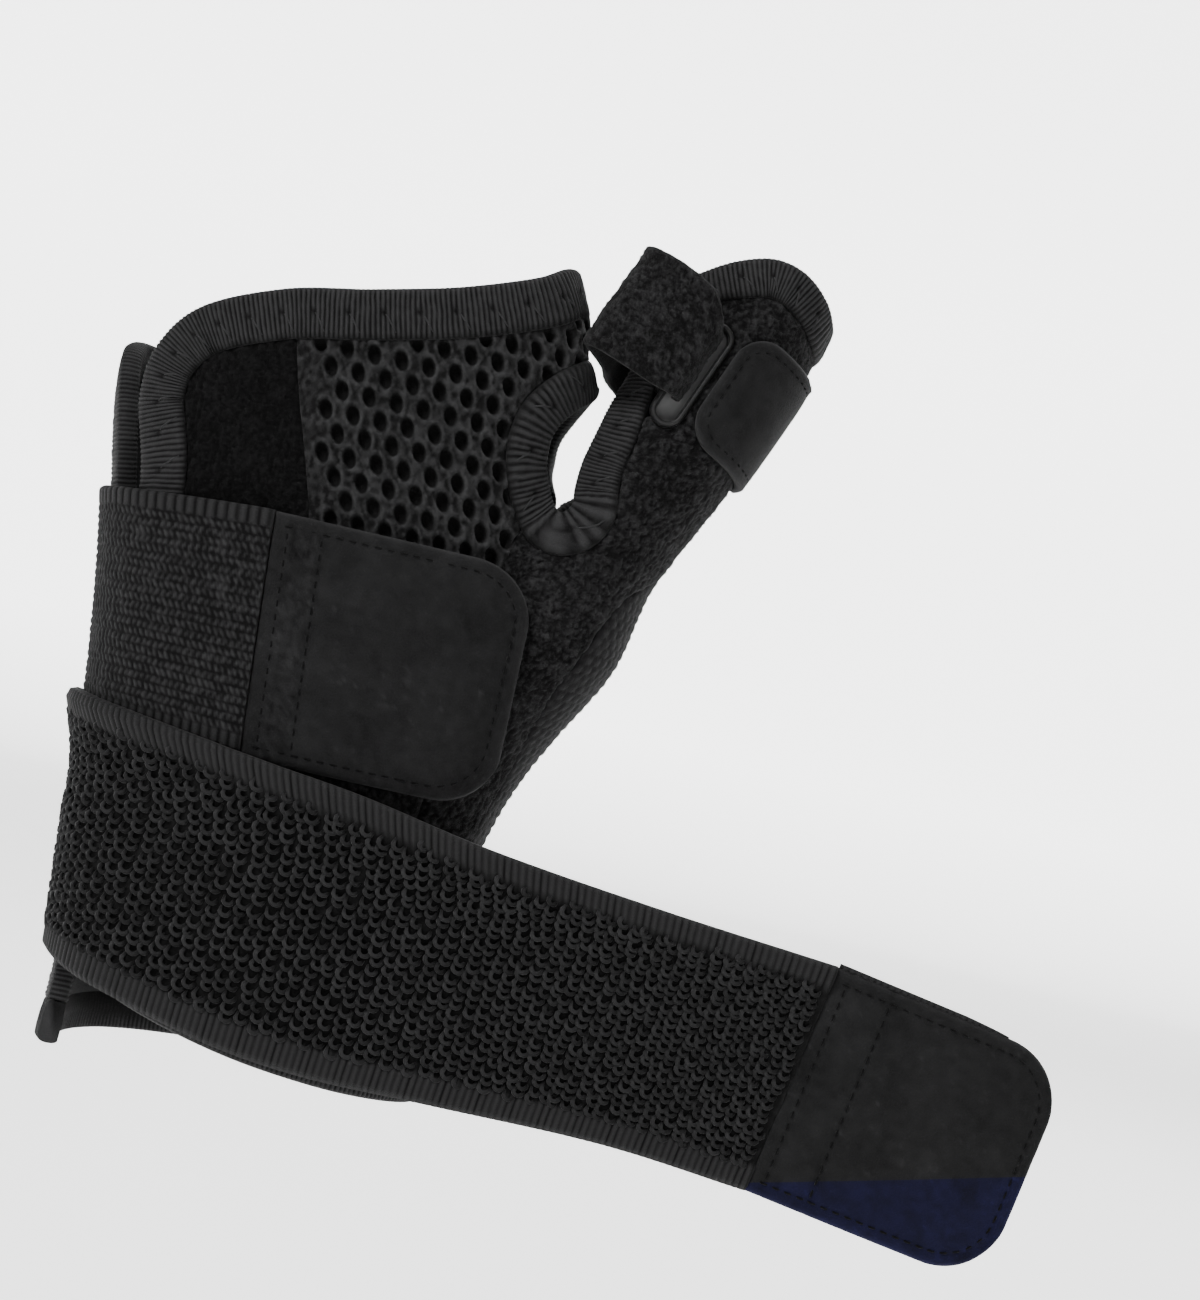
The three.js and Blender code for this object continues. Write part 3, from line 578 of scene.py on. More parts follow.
def tube(path, radius, sides=5):
    """A thread along points."""
    along = unit(np.gradient(path, axis=0))
    seed = np.array([0.31, 0.87, 0.38])
    a = unit(np.cross(along, seed))
    b = np.cross(along, a)
    turn = np.linspace(0, 2 * pi, sides, endpoint=False)
    size = np.full(len(path), radius)
    size[[0, -1]] *= 0.45
    ring = a[:, None] * np.cos(turn)[None, :, None] + b[:, None] * np.sin(turn)[None, :, None]
    return loft(path[:, None] + ring * size[:, None, None])


def tape_part(line, width):
    """Ribbed tape folded over an edge, with needle holes and slanting threads along it."""
    line = snap(even(line, step=RIB / 4), TAPE_MIDDLE)
    run = lengths(line)
    fold = np.radians(np.linspace(-80, 80, 7))
    profile = [(FOLD * (1 - cos(f)), TAPE_MIDDLE + 1.95 * sin(f), 1) for f in fold]
    for k in range(1, 9):
        w = FOLD + (width - 1.5) * k / 8
        profile.append((w, TAPE_OUT + 0.22 * sin(pi * min(w / width, 1)) - 0.1, 1))
    profile += [(width + 0.3, 3.72, 0.6), (width + 0.75, 3.25, 0.2), (width + 0.3, 2.5, 0), (width + 0.3, 0.5, 0),
                (width * 0.55, 0.12, 0)]
    profile = [(round(w, 4), w, d, ribbed) for w, d, ribbed in profile]
    order = sorted({key for key, *_ in profile})
    at, q, side = {}, line.copy(), side_way(line)
    last = 0.0
    for w in order:
        q = snap(q + side * (w - last), TAPE_MIDDLE, 4)
        n = normal(q)
        side = unit(side - n * np.sum(side * n, axis=-1, keepdims=True))
        at[w], last = q.copy(), w
    count = max(int(run[-1] / STITCH), 1)
    pace = run[-1] / count
    dot = FOLD + (width - 1.5) / 2
    rings, tones = [], []
    for key, w, d, ribbed in profile:
        sway = 0.12 * grain(at[key], 2.5, 4)
        wave = rib_wave(run + sway, RIB)
        rough = grain(at[key], 0.7, 3)
        near = np.exp(-(((run + pace / 2) % pace - pace / 2 - 0.25 * pace) ** 2 + (w - dot) ** 2) / 0.3)
        lift = ribbed * (0.42 * (wave - 0.65) + 0.06 * rough - 0.5 * near)
        out = 1 if d >= TAPE_MIDDLE else -1
        rings.append(snap(at[key], d + out * lift, 5))
        # painted highlight on the rib crests, painted shade in the grooves and needle holes, and painted shade on
        # the turned-under edge where the rows carry no ribs
        tones.append((0.95 * ribbed * wave ** 2.2 + 0.03 + 0.2 * rough) * (1 - 0.9 * near))
    points, faces = loft(np.stack(rings, axis=1))
    parts = [(points, faces, clamp(np.stack(tones, axis=1).ravel()))]

    def spot(s, w, d):
        k = np.clip(np.searchsorted(run, s), 0, len(run) - 1)
        return snap(at[order[int(np.argmin(np.abs(np.array(order) - w)))]][k], d)

    for k in range(count):
        s = (k + 0.25) * pace
        path = np.array([spot(s + 0.3 + 1.9 * f, dot + 0.3 + (width - dot - 0.5) * f,
                              TAPE_OUT + 0.16 - 0.3 * (f in (0, 1))) for f in (0, 0.25, 0.5, 0.75, 1)])
        p, f = tube(path, 0.17, 4)
        parts.append((p, f, np.full(len(p), 0.95)))
    return join_parts(parts)


# ---- straps
def upsample(grid, m, k):
    """A coarse grid of points, smooth through its rows and columns."""
    rows, cols = (np.linspace(0, 1, n) for n in grid.shape[:2])
    grid = np.stack([column(rows, grid, t) for t in np.linspace(0, 1, m)])
    turned = grid.transpose(1, 0, 2)
    return np.stack([column(cols, turned, t) for t in np.linspace(0, 1, k)], axis=1)


def grid_normal(grid):
    along = np.gradient(grid, axis=0)
    across = np.gradient(grid, axis=1)
    return unit(np.cross(along, across))


def grid_runs(grid):
    """Distances along and across the middle lines of a grid."""
    m, k = grid.shape[:2]
    return lengths(grid[:, k // 2]), lengths(grid[m // 2])


def strip_part(grid, thick, rise, tone, every=8, under=None):
    """A strip of cloth round a middle surface, with a detailed outer face. under gives relief to the inner one."""
    out = grid_normal(grid)
    k = grid.shape[1]
    outer = grid + out * (thick / 2 + rise)[..., None]
    back = sorted({k - 1, *range(0, k, every)}, reverse=True)
    under = np.zeros(grid.shape[:2]) if under is None else under
    inner = grid[:, back] - out[:, back] * (thick / 2 + under[:, back, None])
    points, faces = loft(np.concatenate([outer, inner], axis=1))
    # inner face lighter where its relief stands up: painted highlight on the raised parts
    tones = np.concatenate([np.broadcast_to(tone, outer.shape[:2]), 0.3 + 1.2 * under[:, back]], axis=1)
    return points, [f[::-1] for f in faces], tones.ravel()


def soft_edge(run, width=1.2, drop=0.7):
    """How far a strip's outer face falls toward its two long edges."""
    near = clamp(np.minimum(run, run[-1] - run) / width)
    return -drop * (1 - np.sqrt(1 - (1 - near) ** 2))


# the straps' worn parts, columns: angle round the form, upper z, lower z
UPPER_RUN = np.array([
    (-62, 71, 26.5), (-120, 72, 28.5), (-180, 73, 30), (-225, 74, 30), (-258, 75.8, 29),
], dtype=float)
TAB_LEFT, TAB_RIGHT, TAB_TOP, TAB_BOTTOM, TAB_CORNER, TAB_LEAN = -11.4, 38.5, 75.6, 28.2, 12.0, 4.0
LOWER_RUN = np.array([
    (-62, 29, -21), (-120, 31, -20), (-180, 32.5, -18.5), (-205, 33, -18.5), (-240, 31.5, -22),
], dtype=float)
# the lower strap's free part, columns: x, y, upper z, lower z
LOWER_FREE = [
    (-3, -31.2, 28.6, -26), (15, -31, 26.5, -28), (40, -29, 22, -28.2), (75, -25.8, 17.8, -28.6),
    (107.5, -22, 14.4, -31.6),
]
LOWER_TURN, LOWER_SWING = 10.0, 7.0  # the lower tab's turn, in the picture and away from it
# how far the straps' middle surfaces lie from the form
UPPER_OUT, LOWER_OUT = 5.6, 5.8
STRAP_BORDER, EDGE_RIB = 5.6, 1.4
TAB_LENGTH, TAB_HALF, JOIN = 50.5, 23.2, 0.03
# seams across the two large tabs
SEAMS, LOWER_SEAMS = (-8.6, -1.9), (2.8, 12.2)


def upper_strap_grid():
    keys, high, low = UPPER_RUN.T
    lines = []
    for u in np.linspace(0, 1, 7):
        z = low[-1] + (high[-1] - low[-1]) * u
        end = face_point(TAB_LEFT - 0.04 - TAB_LEAN * (u - 0.5), z, 5)
        last = ring_angle(HAND, end)
        last = last + 360 * round((keys[-1] - last) / 360)
        angle = np.linspace(keys[0], last, 60)
        z = column(keys, low, angle) + (column(keys, high, angle) - column(keys, low, angle)) * u
        lines.append(ring_point(HAND, angle, z, UPPER_OUT))
    return np.stack(lines, axis=1)


def lower_strap_grid():
    keys, high, low = LOWER_RUN.T
    lines = []
    for u in np.linspace(0, 1, 5):
        z_rows = low + (high - low) * u
        lift = 3.0 * clamp(1 - (high - z_rows) / 12)
        angle = np.arange(keys[0], keys[-1], -8.3)
        worn = ring_point(HAND, angle, column(keys, z_rows, angle), LOWER_OUT + column(keys, lift, angle))
        free = []
        for k, (x, y, top, bottom) in enumerate(LOWER_FREE):
            z = bottom + (top - bottom) * u
            lean = (z - (top + bottom) / 2) * tan(radians(LOWER_TURN)) if k == 4 else 0
            free.append((x + lean, y, z))
        lines.append(even(smooth_spans(np.vstack([worn, free]), 8), count=90))
    return np.stack(lines, axis=1)


def upper_strap_part():
    grid = upsample(upper_strap_grid(), 400, 136)
    a, b = grid_runs(grid)
    a, b = a[:, None], b[None, :]
    width = b[0, -1]
    course, bump, border = 1.6, 1.3, 3.4
    row = np.floor(b / course)
    slant = 0.55 * (b / course - row - 0.5) * (1 - 2 * (row % 2))
    body = 0.38 * np.abs(np.sin(pi * b / course)) ** 0.6
    body = body * (0.58 + 0.42 * np.cos(2 * pi * (a / bump + 0.25 * np.sin(row * 2.4) + slant)))
    body = body + 0.16 * grain(grid, 0.7, 11)
    rib = 0.42 * rib_wave(a + 0 * b, 2.0) - 0.1
    near = clamp((np.minimum(b, width - b) - border + 0.5) / 0.8)
    rise = rib * (1 - near) + body * near
    # tone rises with the relief: painted highlight on the raised stitches and edge ribs, painted shade in the
    # hollows between them
    tone = clamp(2.3 * rise)
    rise = 0.75 * rise + soft_edge(b[0], 1.1, 0.8)[None, :] - 0.1
    return strip_part(grid, 1.8, rise, tone)


def loop_yarn(size):
    """A U of yarn in its own plane: along, across, out."""
    turn = np.radians(np.linspace(168, 360, 8))
    along = 1.05 * np.cos(turn)
    across = 0.95 * np.sin(turn)
    out = 0.62 - 0.34 * (along + 1.05) / 2.1
    out[[0, -1]] = (0.05, -0.25)
    across[[0, -1]] += (0.75, 0.55)
    return np.stack([along, across, out], axis=1) * size


LOWER_GRID = upsample(lower_strap_grid(), 740, 41)


def lower_strap_part():
    grid = LOWER_GRID
    a, b = grid_runs(grid)
    near = clamp(np.minimum(b, b[-1] - b) - STRAP_BORDER)[None, :]
    rib = 0.45 * rib_wave(a, EDGE_RIB)[:, None] - 0.1 + 0 * near
    base = 0.22 * grain(grid, 1.1, 5) - 0.3
    rise = rib * (1 - near) + base * near
    # tone follows the relief: painted highlight on the rib crests and raised grain, painted shade in the grooves and
    # hollows
    tone = clamp((0.15 + 1.8 * rib) * (1 - near) + (0.36 + 0.9 * base) * near)
    rise = rise + soft_edge(b, 1.5, 1.0)[None, :]
    weave = 0.1 * rib_wave(a, 2.0)[:, None] + 0.14 * grain(grid, 1.3, 6)
    return join_parts([strip_part(grid, 2.2, rise, tone, every=2, under=weave), strap_edge_part()])


def strap_edge_part():
    """The strap's ribbed edge, showing along the tab's upper side."""
    x = np.linspace(0.45, 36.5, 170)[:, None]
    reach = 0.85 * clamp((37.5 - x) / 10) ** 0.5
    lift = TAB_HALF + 0.04 + reach * np.linspace(0, 1, 5)[None, :]
    grid = lower_tab_at(x + 0 * lift, lift, lower_tab_bow(x) - 0.55 + 0 * lift)
    rise = 0.22 * rib_wave(x[:, 0], EDGE_RIB)[:, None] + 0 * lift
    # tone follows the rib relief: painted highlight on the rib crests, painted shade between them
    return strip_part(grid, 1.2, rise, 0.15 + 3.0 * rise, every=2)


def lower_loops_part():
    """The raised yarn loops on the middle of the strap, finer near its free end."""
    grid = LOWER_GRID
    a, b = grid_runs(grid)
    width = b[-1]
    out = grid_normal(grid)
    along = unit(np.gradient(grid, axis=0))
    rng = np.random.default_rng(7)
    stations, s = [], 0.9
    while s < a[-1] - 0.6:
        stations.append(s)
        s += np.interp(s, [0.55 * a[-1], a[-1]], [2.75, 2.05])
    loops = []
    for c, s0 in enumerate(stations):
        row = np.interp(s0, [0.55 * a[-1], a[-1]], [2.05, 1.75])
        rows = int((width - 2 * STRAP_BORDER + 1.2) / row)
        for r in range(rows):
            s = s0 + rng.uniform(-0.5, 0.5)
            t = STRAP_BORDER - 0.4 + (r + 0.55 + 0.45 * (c % 2)) * row + rng.uniform(-0.32, 0.32)
            i = min(int(np.searchsorted(a, s)), len(a) - 1)
            j = min(int(np.searchsorted(b, t)), len(b) - 1)
            n, x = out[i, j], along[i, j]
            y = np.cross(n, x)
            centre = grid[i, j] + x * (s - a[i]) + y * (t - b[j]) + n * 0.8
            u = loop_yarn(rng.uniform(0.85, 1.15) * row / 1.95)
            spin = radians(rng.uniform(-24, 24) - 12)
            ua = u[:, 0] * cos(spin) - u[:, 1] * sin(spin)
            ub = u[:, 0] * sin(spin) + u[:, 1] * cos(spin)
            path = centre + ua[:, None] * x + ub[:, None] * y + u[:, 2:] * n
            p, f = tube(path, 0.5, 4)
            # loops lighter the higher they stand over the strap: painted highlight on the loop tops, with random
            # variation from loop to loop
            loop_highlight_tone = clamp(0.1 + 1.1 * np.repeat(u[:, 2], 4) + rng.uniform(-0.16, 0.16))
            loops.append((p, f, loop_highlight_tone))
    return join_parts(loops)


# ---- tabs and their stitches
DASH_STEP, DASH_DEPTH = 0.4, np.array([0.3, 0.02, -0.06, 0.02, 0.3])
# where the border stitches begin, and how far the seams across keep from the tab's sides
HEM_START, SEAM_MARGIN = 1.5, 3


def tab_plan(u, v, length, half, corner):
    """A tab laid flat, with two round corners: along, across, and half its width at each place along."""
    turn = clamp((u - 0.6) / 0.4) * pi / 2
    straight = length - corner
    along = np.where(u < 0.6, straight * u / 0.6, straight + corner * np.sin(turn))
    room = half - corner * (1 - np.cos(turn))
    return along, v * room, room


def net(rows, columns):
    """Shares along a tab from 0 to 1, and across it from -1 to 1."""
    return np.linspace(0, 1, rows)[:, None], np.linspace(-1, 1, columns)[None, :]


def dashes(line, pitch, length):
    """Short pieces of a line, one for each stitch."""
    line = np.array(line, dtype=float)
    run = lengths(line)
    path = points_at(line, run, np.linspace(0, run[-1], max(int(run[-1] / DASH_STEP), 2) + 1))
    run = lengths(path)
    count = max(int(run[-1] / pitch), 1)
    for k in range(count):
        at = (k + 0.5) * run[-1] / count + np.linspace(-0.5, 0.5, 5) * length
        yield points_at(path, run, at)


def stitch_parts(lines, place, radius=0.24, pitch=2.5, length=1.75):
    """Stitches along flat lines, placed on a surface by place(points) -> (points, outward)."""
    parts = []
    for line in lines:
        for dash in dashes(line, pitch, length):
            p, out = place(dash)
            q, f = tube(p - out * DASH_DEPTH[:, None], radius)
            parts.append((q, f, np.zeros(len(q))))
    return parts


def hem_line(x0, x1, z0, z1, corner, hem):
    """Line inside a tab's border, from its lower left round the right end to its upper left."""
    x1, z0, z1, radius = x1 - hem, z0 + hem, z1 - hem, corner - hem

    def bend(z, first):
        return [(x1 - radius + radius * cos(t), z + radius * sin(t)) for t in np.linspace(first, first + pi / 2, 8)]

    start = x0 + HEM_START
    return [(start, z0), *bend(z0 + radius, -pi / 2), *bend(z1 - radius, 0), (start, z1)]


def groove(x, at, depth, width=0.5):
    """A shallow line pressed in by stitching."""
    return depth * np.exp(-((x - at) / width) ** 2)


def suede_rise(grid, edge, seed):
    nap = 0.05 * grain(grid, 0.7, seed) + 0.07 * grain(grid, 4.0, seed + 1)
    return nap - 0.55 * (1 - np.sqrt(1 - (1 - clamp(edge / 1.3)) ** 2))


def suede_tone(grid, edge, seed):
    """Even charcoal with a painted highlight along the edge and a few specks of lint."""
    lint = clamp(grain(grid, 0.8, seed + 2) * 3.2 - 2.2)
    # the lighter edge term below is a painted highlight along the tab's rounded edge
    worn = clamp(1 - edge / 0.9)
    nap = 0.34 + 0.12 * grain(grid, 1.4, seed) + 0.1 * grain(grid, 7.0, seed + 1)
    return clamp(nap + 0.5 * lint + 0.4 * worn)


def upper_tab_part():
    u, v = net(80, 61)
    hem, half = 2.5, (TAB_TOP - TAB_BOTTOM) / 2
    middle = TAB_BOTTOM + half
    along, lift, room = tab_plan(u, v, TAB_RIGHT - TAB_LEFT, half, TAB_CORNER)
    x = TAB_LEFT + along - TAB_LEAN / 2 * (lift / half) * (1 - u)
    grid = face_point(x, middle + lift, 4.9)
    edge = np.minimum(np.minimum(room - np.abs(lift), TAB_RIGHT - x), x - TAB_LEFT + 2)
    rise = suede_rise(grid, np.maximum(edge, 0), 21)
    lines = x + TAB_LEAN / 2 * (lift / half)
    band = clamp((lines - SEAMS[0]) / 0.6) * clamp((SEAMS[1] - lines) / 0.6)
    rise = rise + 0.22 * band + 0.16 * band * grain(grid, 0.8, 27)
    for seam in SEAMS:
        rise = rise - groove(lines, seam, 0.28)
    rise = rise - groove(edge, hem, 0.22) * (x > TAB_LEFT + 1)
    tone = clamp(suede_tone(grid, edge, 23) + 0.3 * band * grain(grid, 0.8, 27))
    part = strip_part(grid, 2.2, rise, tone, every=6)

    def place(q):
        p = face_point(q[:, 0] - TAB_LEAN / 2 * (q[:, 1] - middle) / half * (q[:, 0] < 20), q[:, 1], 5.88)
        return p, normal(p)

    border = hem_line(TAB_LEFT, TAB_RIGHT, TAB_BOTTOM, TAB_TOP, TAB_CORNER, hem)
    seams = [[(s, TAB_BOTTOM + SEAM_MARGIN), (s, TAB_TOP - SEAM_MARGIN)] for s in SEAMS]
    return join_parts([part] + stitch_parts([border] + seams, place))


def lower_tab_at(x, z, out):
    """Points in the lower tab's own axes, from the strap's free end."""
    end = LOWER_FREE[-1]
    turn = Matrix.Rotation(radians(LOWER_SWING), 3, "Z") @ Matrix.Rotation(radians(LOWER_TURN), 3, "Y")
    along_way, back_way, up_way = np.array(turn).T
    start = np.array([end[0], end[1], (end[2] + end[3]) / 2])
    return start + x[..., None] * along_way + z[..., None] * up_way + out[..., None] * -back_way


def lower_tab_bow(x):
    return 0.5 * np.sin(pi * x / TAB_LENGTH)


def lower_tab_part():
    length, half, thick, corner, hem = TAB_LENGTH, TAB_HALF, 2.4, 13.0, 2.6
    along, lift, room = tab_plan(*net(84, 71), length - JOIN, half, corner)
    x = JOIN + along + 0 * lift
    grid = lower_tab_at(x, lift, lower_tab_bow(x) - 0.3)
    edge = np.minimum(room - np.abs(lift), length - x)
    rise = suede_rise(grid, np.maximum(edge, 0), 31)
    for seam in LOWER_SEAMS:
        rise = rise - groove(x, seam, 0.28)
    rise = rise - groove(edge, hem, 0.22)
    tone = suede_tone(grid, edge, 33)
    hooks = 0.25 * grain(grid, 0.9, 35)
    part = strip_part(grid, thick - 0.4, rise, tone, every=2, under=hooks)

    def place(q):
        rise = lower_tab_bow(q[:, 0]) - 0.3 + thick / 2 - 0.3
        p = lower_tab_at(q[:, 0], q[:, 1], rise)
        return p, lower_tab_at(q[:, 0], q[:, 1], rise + 1) - p

    border = hem_line(0, length, -half, half, corner, hem)
    seams = [[(s, SEAM_MARGIN - half), (s, half - SEAM_MARGIN)] for s in LOWER_SEAMS]
    return join_parts([part] + stitch_parts([border] + seams, place))


# ---- thumb strap, tab and slot
STRAP_AXIS = np.array([62.5, 6.5, 120.6])
lean_turn = Matrix.Rotation(radians(21.5), 3, "Y")
STRAP_ALONG = np.array(lean_turn @ Matrix.Rotation(-radians(7), 3, "X") @ Vector((0, 0, 1)))
STRAP_ACROSS = np.array(lean_turn @ Vector((1, 0, 0)))
STRAP_OUT = unit(np.cross(STRAP_ACROSS, STRAP_ALONG))
# columns: across, out, low, high
STRAP_FOLD = [
    (-3.7, 13.9, -9.4, 6.6), (-3.9, 16.4, -9.4, 6.6), (-5.4, 18.6, -9.8, 9), (-9, 19.6, -10.3, 12),
    (-16, 19.2, -10.3, 13.2), (-22.6, 17.4, -10.3, 13.2), (-24.6, 14.6, -10.3, 13.2), (-22.6, 10.6, -10.3, 13.2),
    (-19.4, 4, -10.3, 13.2),
]


def strap_point(across, out, along):
    across, out, along = (k[..., None] for k in together(across, out, along))
    return STRAP_AXIS + across * STRAP_ACROSS + out * STRAP_OUT + along * STRAP_ALONG


def fleece_rise(grid, seed):
    tufts = 0.2 * grain(grid, 0.8, seed) + 0.32 * grain(grid, 0.45, seed + 1)
    return tufts + 0.08 * grain(grid, 3.2, seed + 2)


def thumb_strap_part():
    rows = list(STRAP_FOLD)
    for k in range(15):
        turn = radians(-176 + 158 * k / 14)
        radius = 18.6 - 0.9 * k / 14
        rows.append((radius * cos(turn), radius * sin(turn), -10.3, 13.2))
    rows = np.array(rows)
    lines = [even(smooth_spans(strap_point(rows[:, 0], rows[:, 1], rows[:, 2] + (rows[:, 3] - rows[:, 2]) * u), 10),
                  count=120) for u in (1, 0.5, 0)]
    grid = upsample(np.stack(lines, axis=1), 240, 54)
    _, b = grid_runs(grid)
    rise = fleece_rise(grid, 41)
    # tufts lighter the higher they stand: painted highlight on the tuft tops, painted shade between them
    tone = clamp(0.25 + 2.0 * rise)
    rise = 0.8 * rise + soft_edge(b, 1.0, 0.5)[None, :]
    return strip_part(grid, 1.8, rise, tone, every=5)


def thumb_tab_part():
    low, high, corner, hem, first, last = -14.6, 11.2, 7.0, 2.2, -16.0, 86.0
    half = (high - low) / 2
    reach = radians(last - first) * 17
    u, v = net(60, 45)
    along, lift, room = tab_plan(u, -v, reach, half, corner)

    def at(px, pz, distance):
        turn = np.radians(first + (last - first) * px / reach)
        way = np.cos(turn)[..., None] * STRAP_ACROSS + np.sin(turn)[..., None] * STRAP_OUT
        return cast(strap_point(0 * px, 0 * px, low + half + pz), way, distance)

    grid = at(along + 0 * lift, lift, 4.6)
    edge = np.minimum(room - np.abs(lift), reach - along)
    rise = suede_rise(grid, np.maximum(edge, 0), 51)
    rise = rise - groove(edge, hem, 0.2, 0.45)
    tone = suede_tone(grid, edge, 53)
    part = strip_part(grid, 1.8, rise, tone, every=5)

    def place(q):
        p = at(q[:, 0], q[:, 1], 5.4)
        return p, normal(p)

    border = hem_line(0, reach, -half, half, corner, hem)
    return join_parts([part] + stitch_parts([border], place, 0.2, 2.2, 1.5))


def slot_part():
    """Oval dish with a rolled lip."""
    across, low, high, width, floor, face = -3.7, -15.5, 8.6, 7.0, 12.9, 16.6
    profile = [
        (0.0, floor), (0.0, face - 1.0), (0.12, face - 0.45), (0.42, face - 0.1), (0.75, face - 0.05),
        (1.0, face - 0.25), (1.1, face - 0.7), (1.1, floor + 1.0), (1.4, floor + 0.7), (2.6, floor + 0.6),
    ]
    turn = np.linspace(0, pi, 17)
    rings = []
    for inset_by, out in profile:
        r = width / 2 - inset_by
        straight = (high - low - width) / 2
        up = [(r * cos(t), straight + r * sin(t)) for t in turn]
        down = [(-r * cos(t), -straight - r * sin(t)) for t in turn]
        loop = np.array(up + down)
        rings.append(strap_point(across + loop[:, 0], out, (low + high) / 2 + loop[:, 1]))
    points, faces = loft(np.stack(rings))
    return points, faces, np.repeat(np.interp([k for k, _ in profile], [1.15, 1.5], [0, 1]), 2 * len(turn))


# ---- materials
def put(node, *sockets, **values):
    """Sets a node's inputs, by number or by name with _ for a space. Another node's output is linked."""
    named = {key.replace("_", " "): value for key, value in values.items()}
    for key, value in [*enumerate(sockets), *named.items()]:
        if isinstance(value, bpy.types.NodeSocket):
            node.id_data.links.new(value, node.inputs[key])
        else:
            node.inputs[key].default_value = value
    return node


def new_material(name, **values):
    material = bpy.data.materials.new(name)
    material.use_nodes = True
    tree = material.node_tree
    return material, tree, put(tree.nodes["Principled BSDF"], **values)


def add(tree, kind, *sockets, **values):
    return put(tree.nodes.new("ShaderNode" + kind), *sockets, **values)


def stored(tree, name):
    """A value stored on the mesh's points."""
    node = add(tree, "Attribute")
    node.attribute_name = name
    return node.outputs["Fac"]


def noise(tree, place, **values):
    return add(tree, "TexNoise", place, **values).outputs["Fac"]


def work_out(tree, kind, operation, *sockets):
    node = add(tree, kind, *sockets)
    node.operation = operation
    return node.outputs["Value"]


def times(tree, source, weight, plus=0.0):
    """source * weight + plus"""
    return work_out(tree, "Math", "MULTIPLY_ADD", source, weight, plus)


def ramp(tree, source, first, dark, last, light):
    """Colours from dark at the first value to light at the last."""
    node = add(tree, "ValToRGB", source)
    for element, position, colour in zip(node.color_ramp.elements, (first, last), (dark, light)):
        element.position, element.color = position, (*colour, 1)
    return node.outputs["Color"]


def spread(tree, source, low, high):
    return add(tree, "MapRange", source, To_Min=low, To_Max=high).outputs["Result"]


RAMP_FROM, RAMP_TO = 0.22, 0.85


def cloth(name, dark, light, rough, sheen, fibre, bump, share=(0.55, 0.3, 0.15), dip=None):
    """Cloth whose colour goes from dark to light with the stored tone, fine fibres and broad wear.

    share weighs these three. dip gives another light colour beyond a plane.
    """
    material, tree, shader = new_material(name, Sheen_Weight=sheen, Sheen_Roughness=0.45, Specular_IOR_Level=0.08)
    place = add(tree, "TexCoord").outputs["Object"]
    fine = noise(tree, place, Scale=1 / fibre, Detail=4, Roughness=0.7)
    broad = noise(tree, place, Scale=90, Detail=3)
    total = 0.0
    for source, weight in zip((stored(tree, "tone"), fine, broad), share):
        total = times(tree, source, weight, total)
    colour = ramp(tree, total, RAMP_FROM, dark, RAMP_TO, light)
    if dip is not None:
        way, limit, light_below = dip
        depth = work_out(tree, "VectorMath", "DOT_PRODUCT", place, way)
        mix = add(tree, "Mix", work_out(tree, "Math", "LESS_THAN", depth, limit))
        mix.data_type = "RGBA"
        tree.links.new(colour, mix.inputs[6])
        tree.links.new(ramp(tree, total, RAMP_FROM, dark, RAMP_TO, light_below), mix.inputs[7])
        colour = mix.outputs[2]
    relief = add(tree, "Bump", Strength=bump, Distance=0.0004, Height=fine).outputs["Normal"]
    put(shader, Base_Color=colour, Roughness=spread(tree, fine, rough + 0.06, rough - 0.08), Normal=relief)
    return material


def grey(value):
    return value, value, value * 1.025


FLEECE = cloth("fleece_black", grey(0.0002), grey(0.019), 0.92, 0.04, 0.0004, 0.9, (0.5, 0.75, -0.3))
FLEECE_DEEP = cloth("fleece_deep_black", grey(0.0002), grey(0.0045), 0.95, 0.01, 0.0004, 0.9, (0.5, 0.75, -0.3))
MESH = cloth("spacer_mesh_black", grey(0.0004), grey(0.019), 0.7, 0.03, 0.0005, 0.8, (0.75, 0.2, 0.05))
KNIT = cloth("waffle_knit_black", grey(0.0005), grey(0.013), 0.8, 0.03, 0.0005, 0.7)
RIBBED = cloth("ribbed_tape_black", grey(0.0002), grey(0.0158), 0.68, 0.03, 0.00035, 0.6, (0.8, 0.15, 0.05))
ELASTIC = cloth("woven_elastic_black", grey(0.0002), grey(0.0158), 0.75, 0.02, 0.00035, 0.6, (0.8, 0.15, 0.05))
YARN = cloth("knit_elastic_black", grey(0.0003), grey(0.0148), 0.7, 0.03, 0.0003, 0.6, (0.75, 0.2, 0.05))
SUEDE = cloth("suede_charcoal", grey(0.0006), grey(0.0178), 0.88, 0.03, 0.00035, 0.5)
# the lower tab's lowest corner is dark blue, up to a straight line
BLUE_WAY = (-sin(LEAN), 0, cos(LEAN))
BLUE_LIMIT = -0.0524
SUEDE_BLUE = cloth("suede_blue_corner", grey(0.0006), grey(0.0178), 0.88, 0.03, 0.00035, 0.5,
                   dip=(BLUE_WAY, BLUE_LIMIT, (0.008, 0.008, 0.038)))


def plastic():
    material, tree, shader = new_material("slot_plastic_grey", Specular_IOR_Level=0.12)
    specks = noise(tree, add(tree, "TexCoord").outputs["Object"], Scale=1800)
    total = times(tree, stored(tree, "tone"), 0.85, times(tree, specks, 0.06))
    colour = ramp(tree, total, 0, (0.006, 0.006, 0.006), 1, (0.11, 0.11, 0.11))
    put(shader, Base_Color=colour, Roughness=spread(tree, specks, 0.32, 0.5))
    return material


PLASTIC = plastic()


# ---- panels
def fleece(seed):
    def height(flat, edge, base):
        rise = fleece_rise(base, seed)
        # tufts lighter the higher they stand: painted highlight on the tuft tops, painted shade between them
        tone = clamp(0.25 + 2.0 * rise)
        return rise - 0.5 * clamp(1 - edge / 1.2) ** 2, tone
    return height


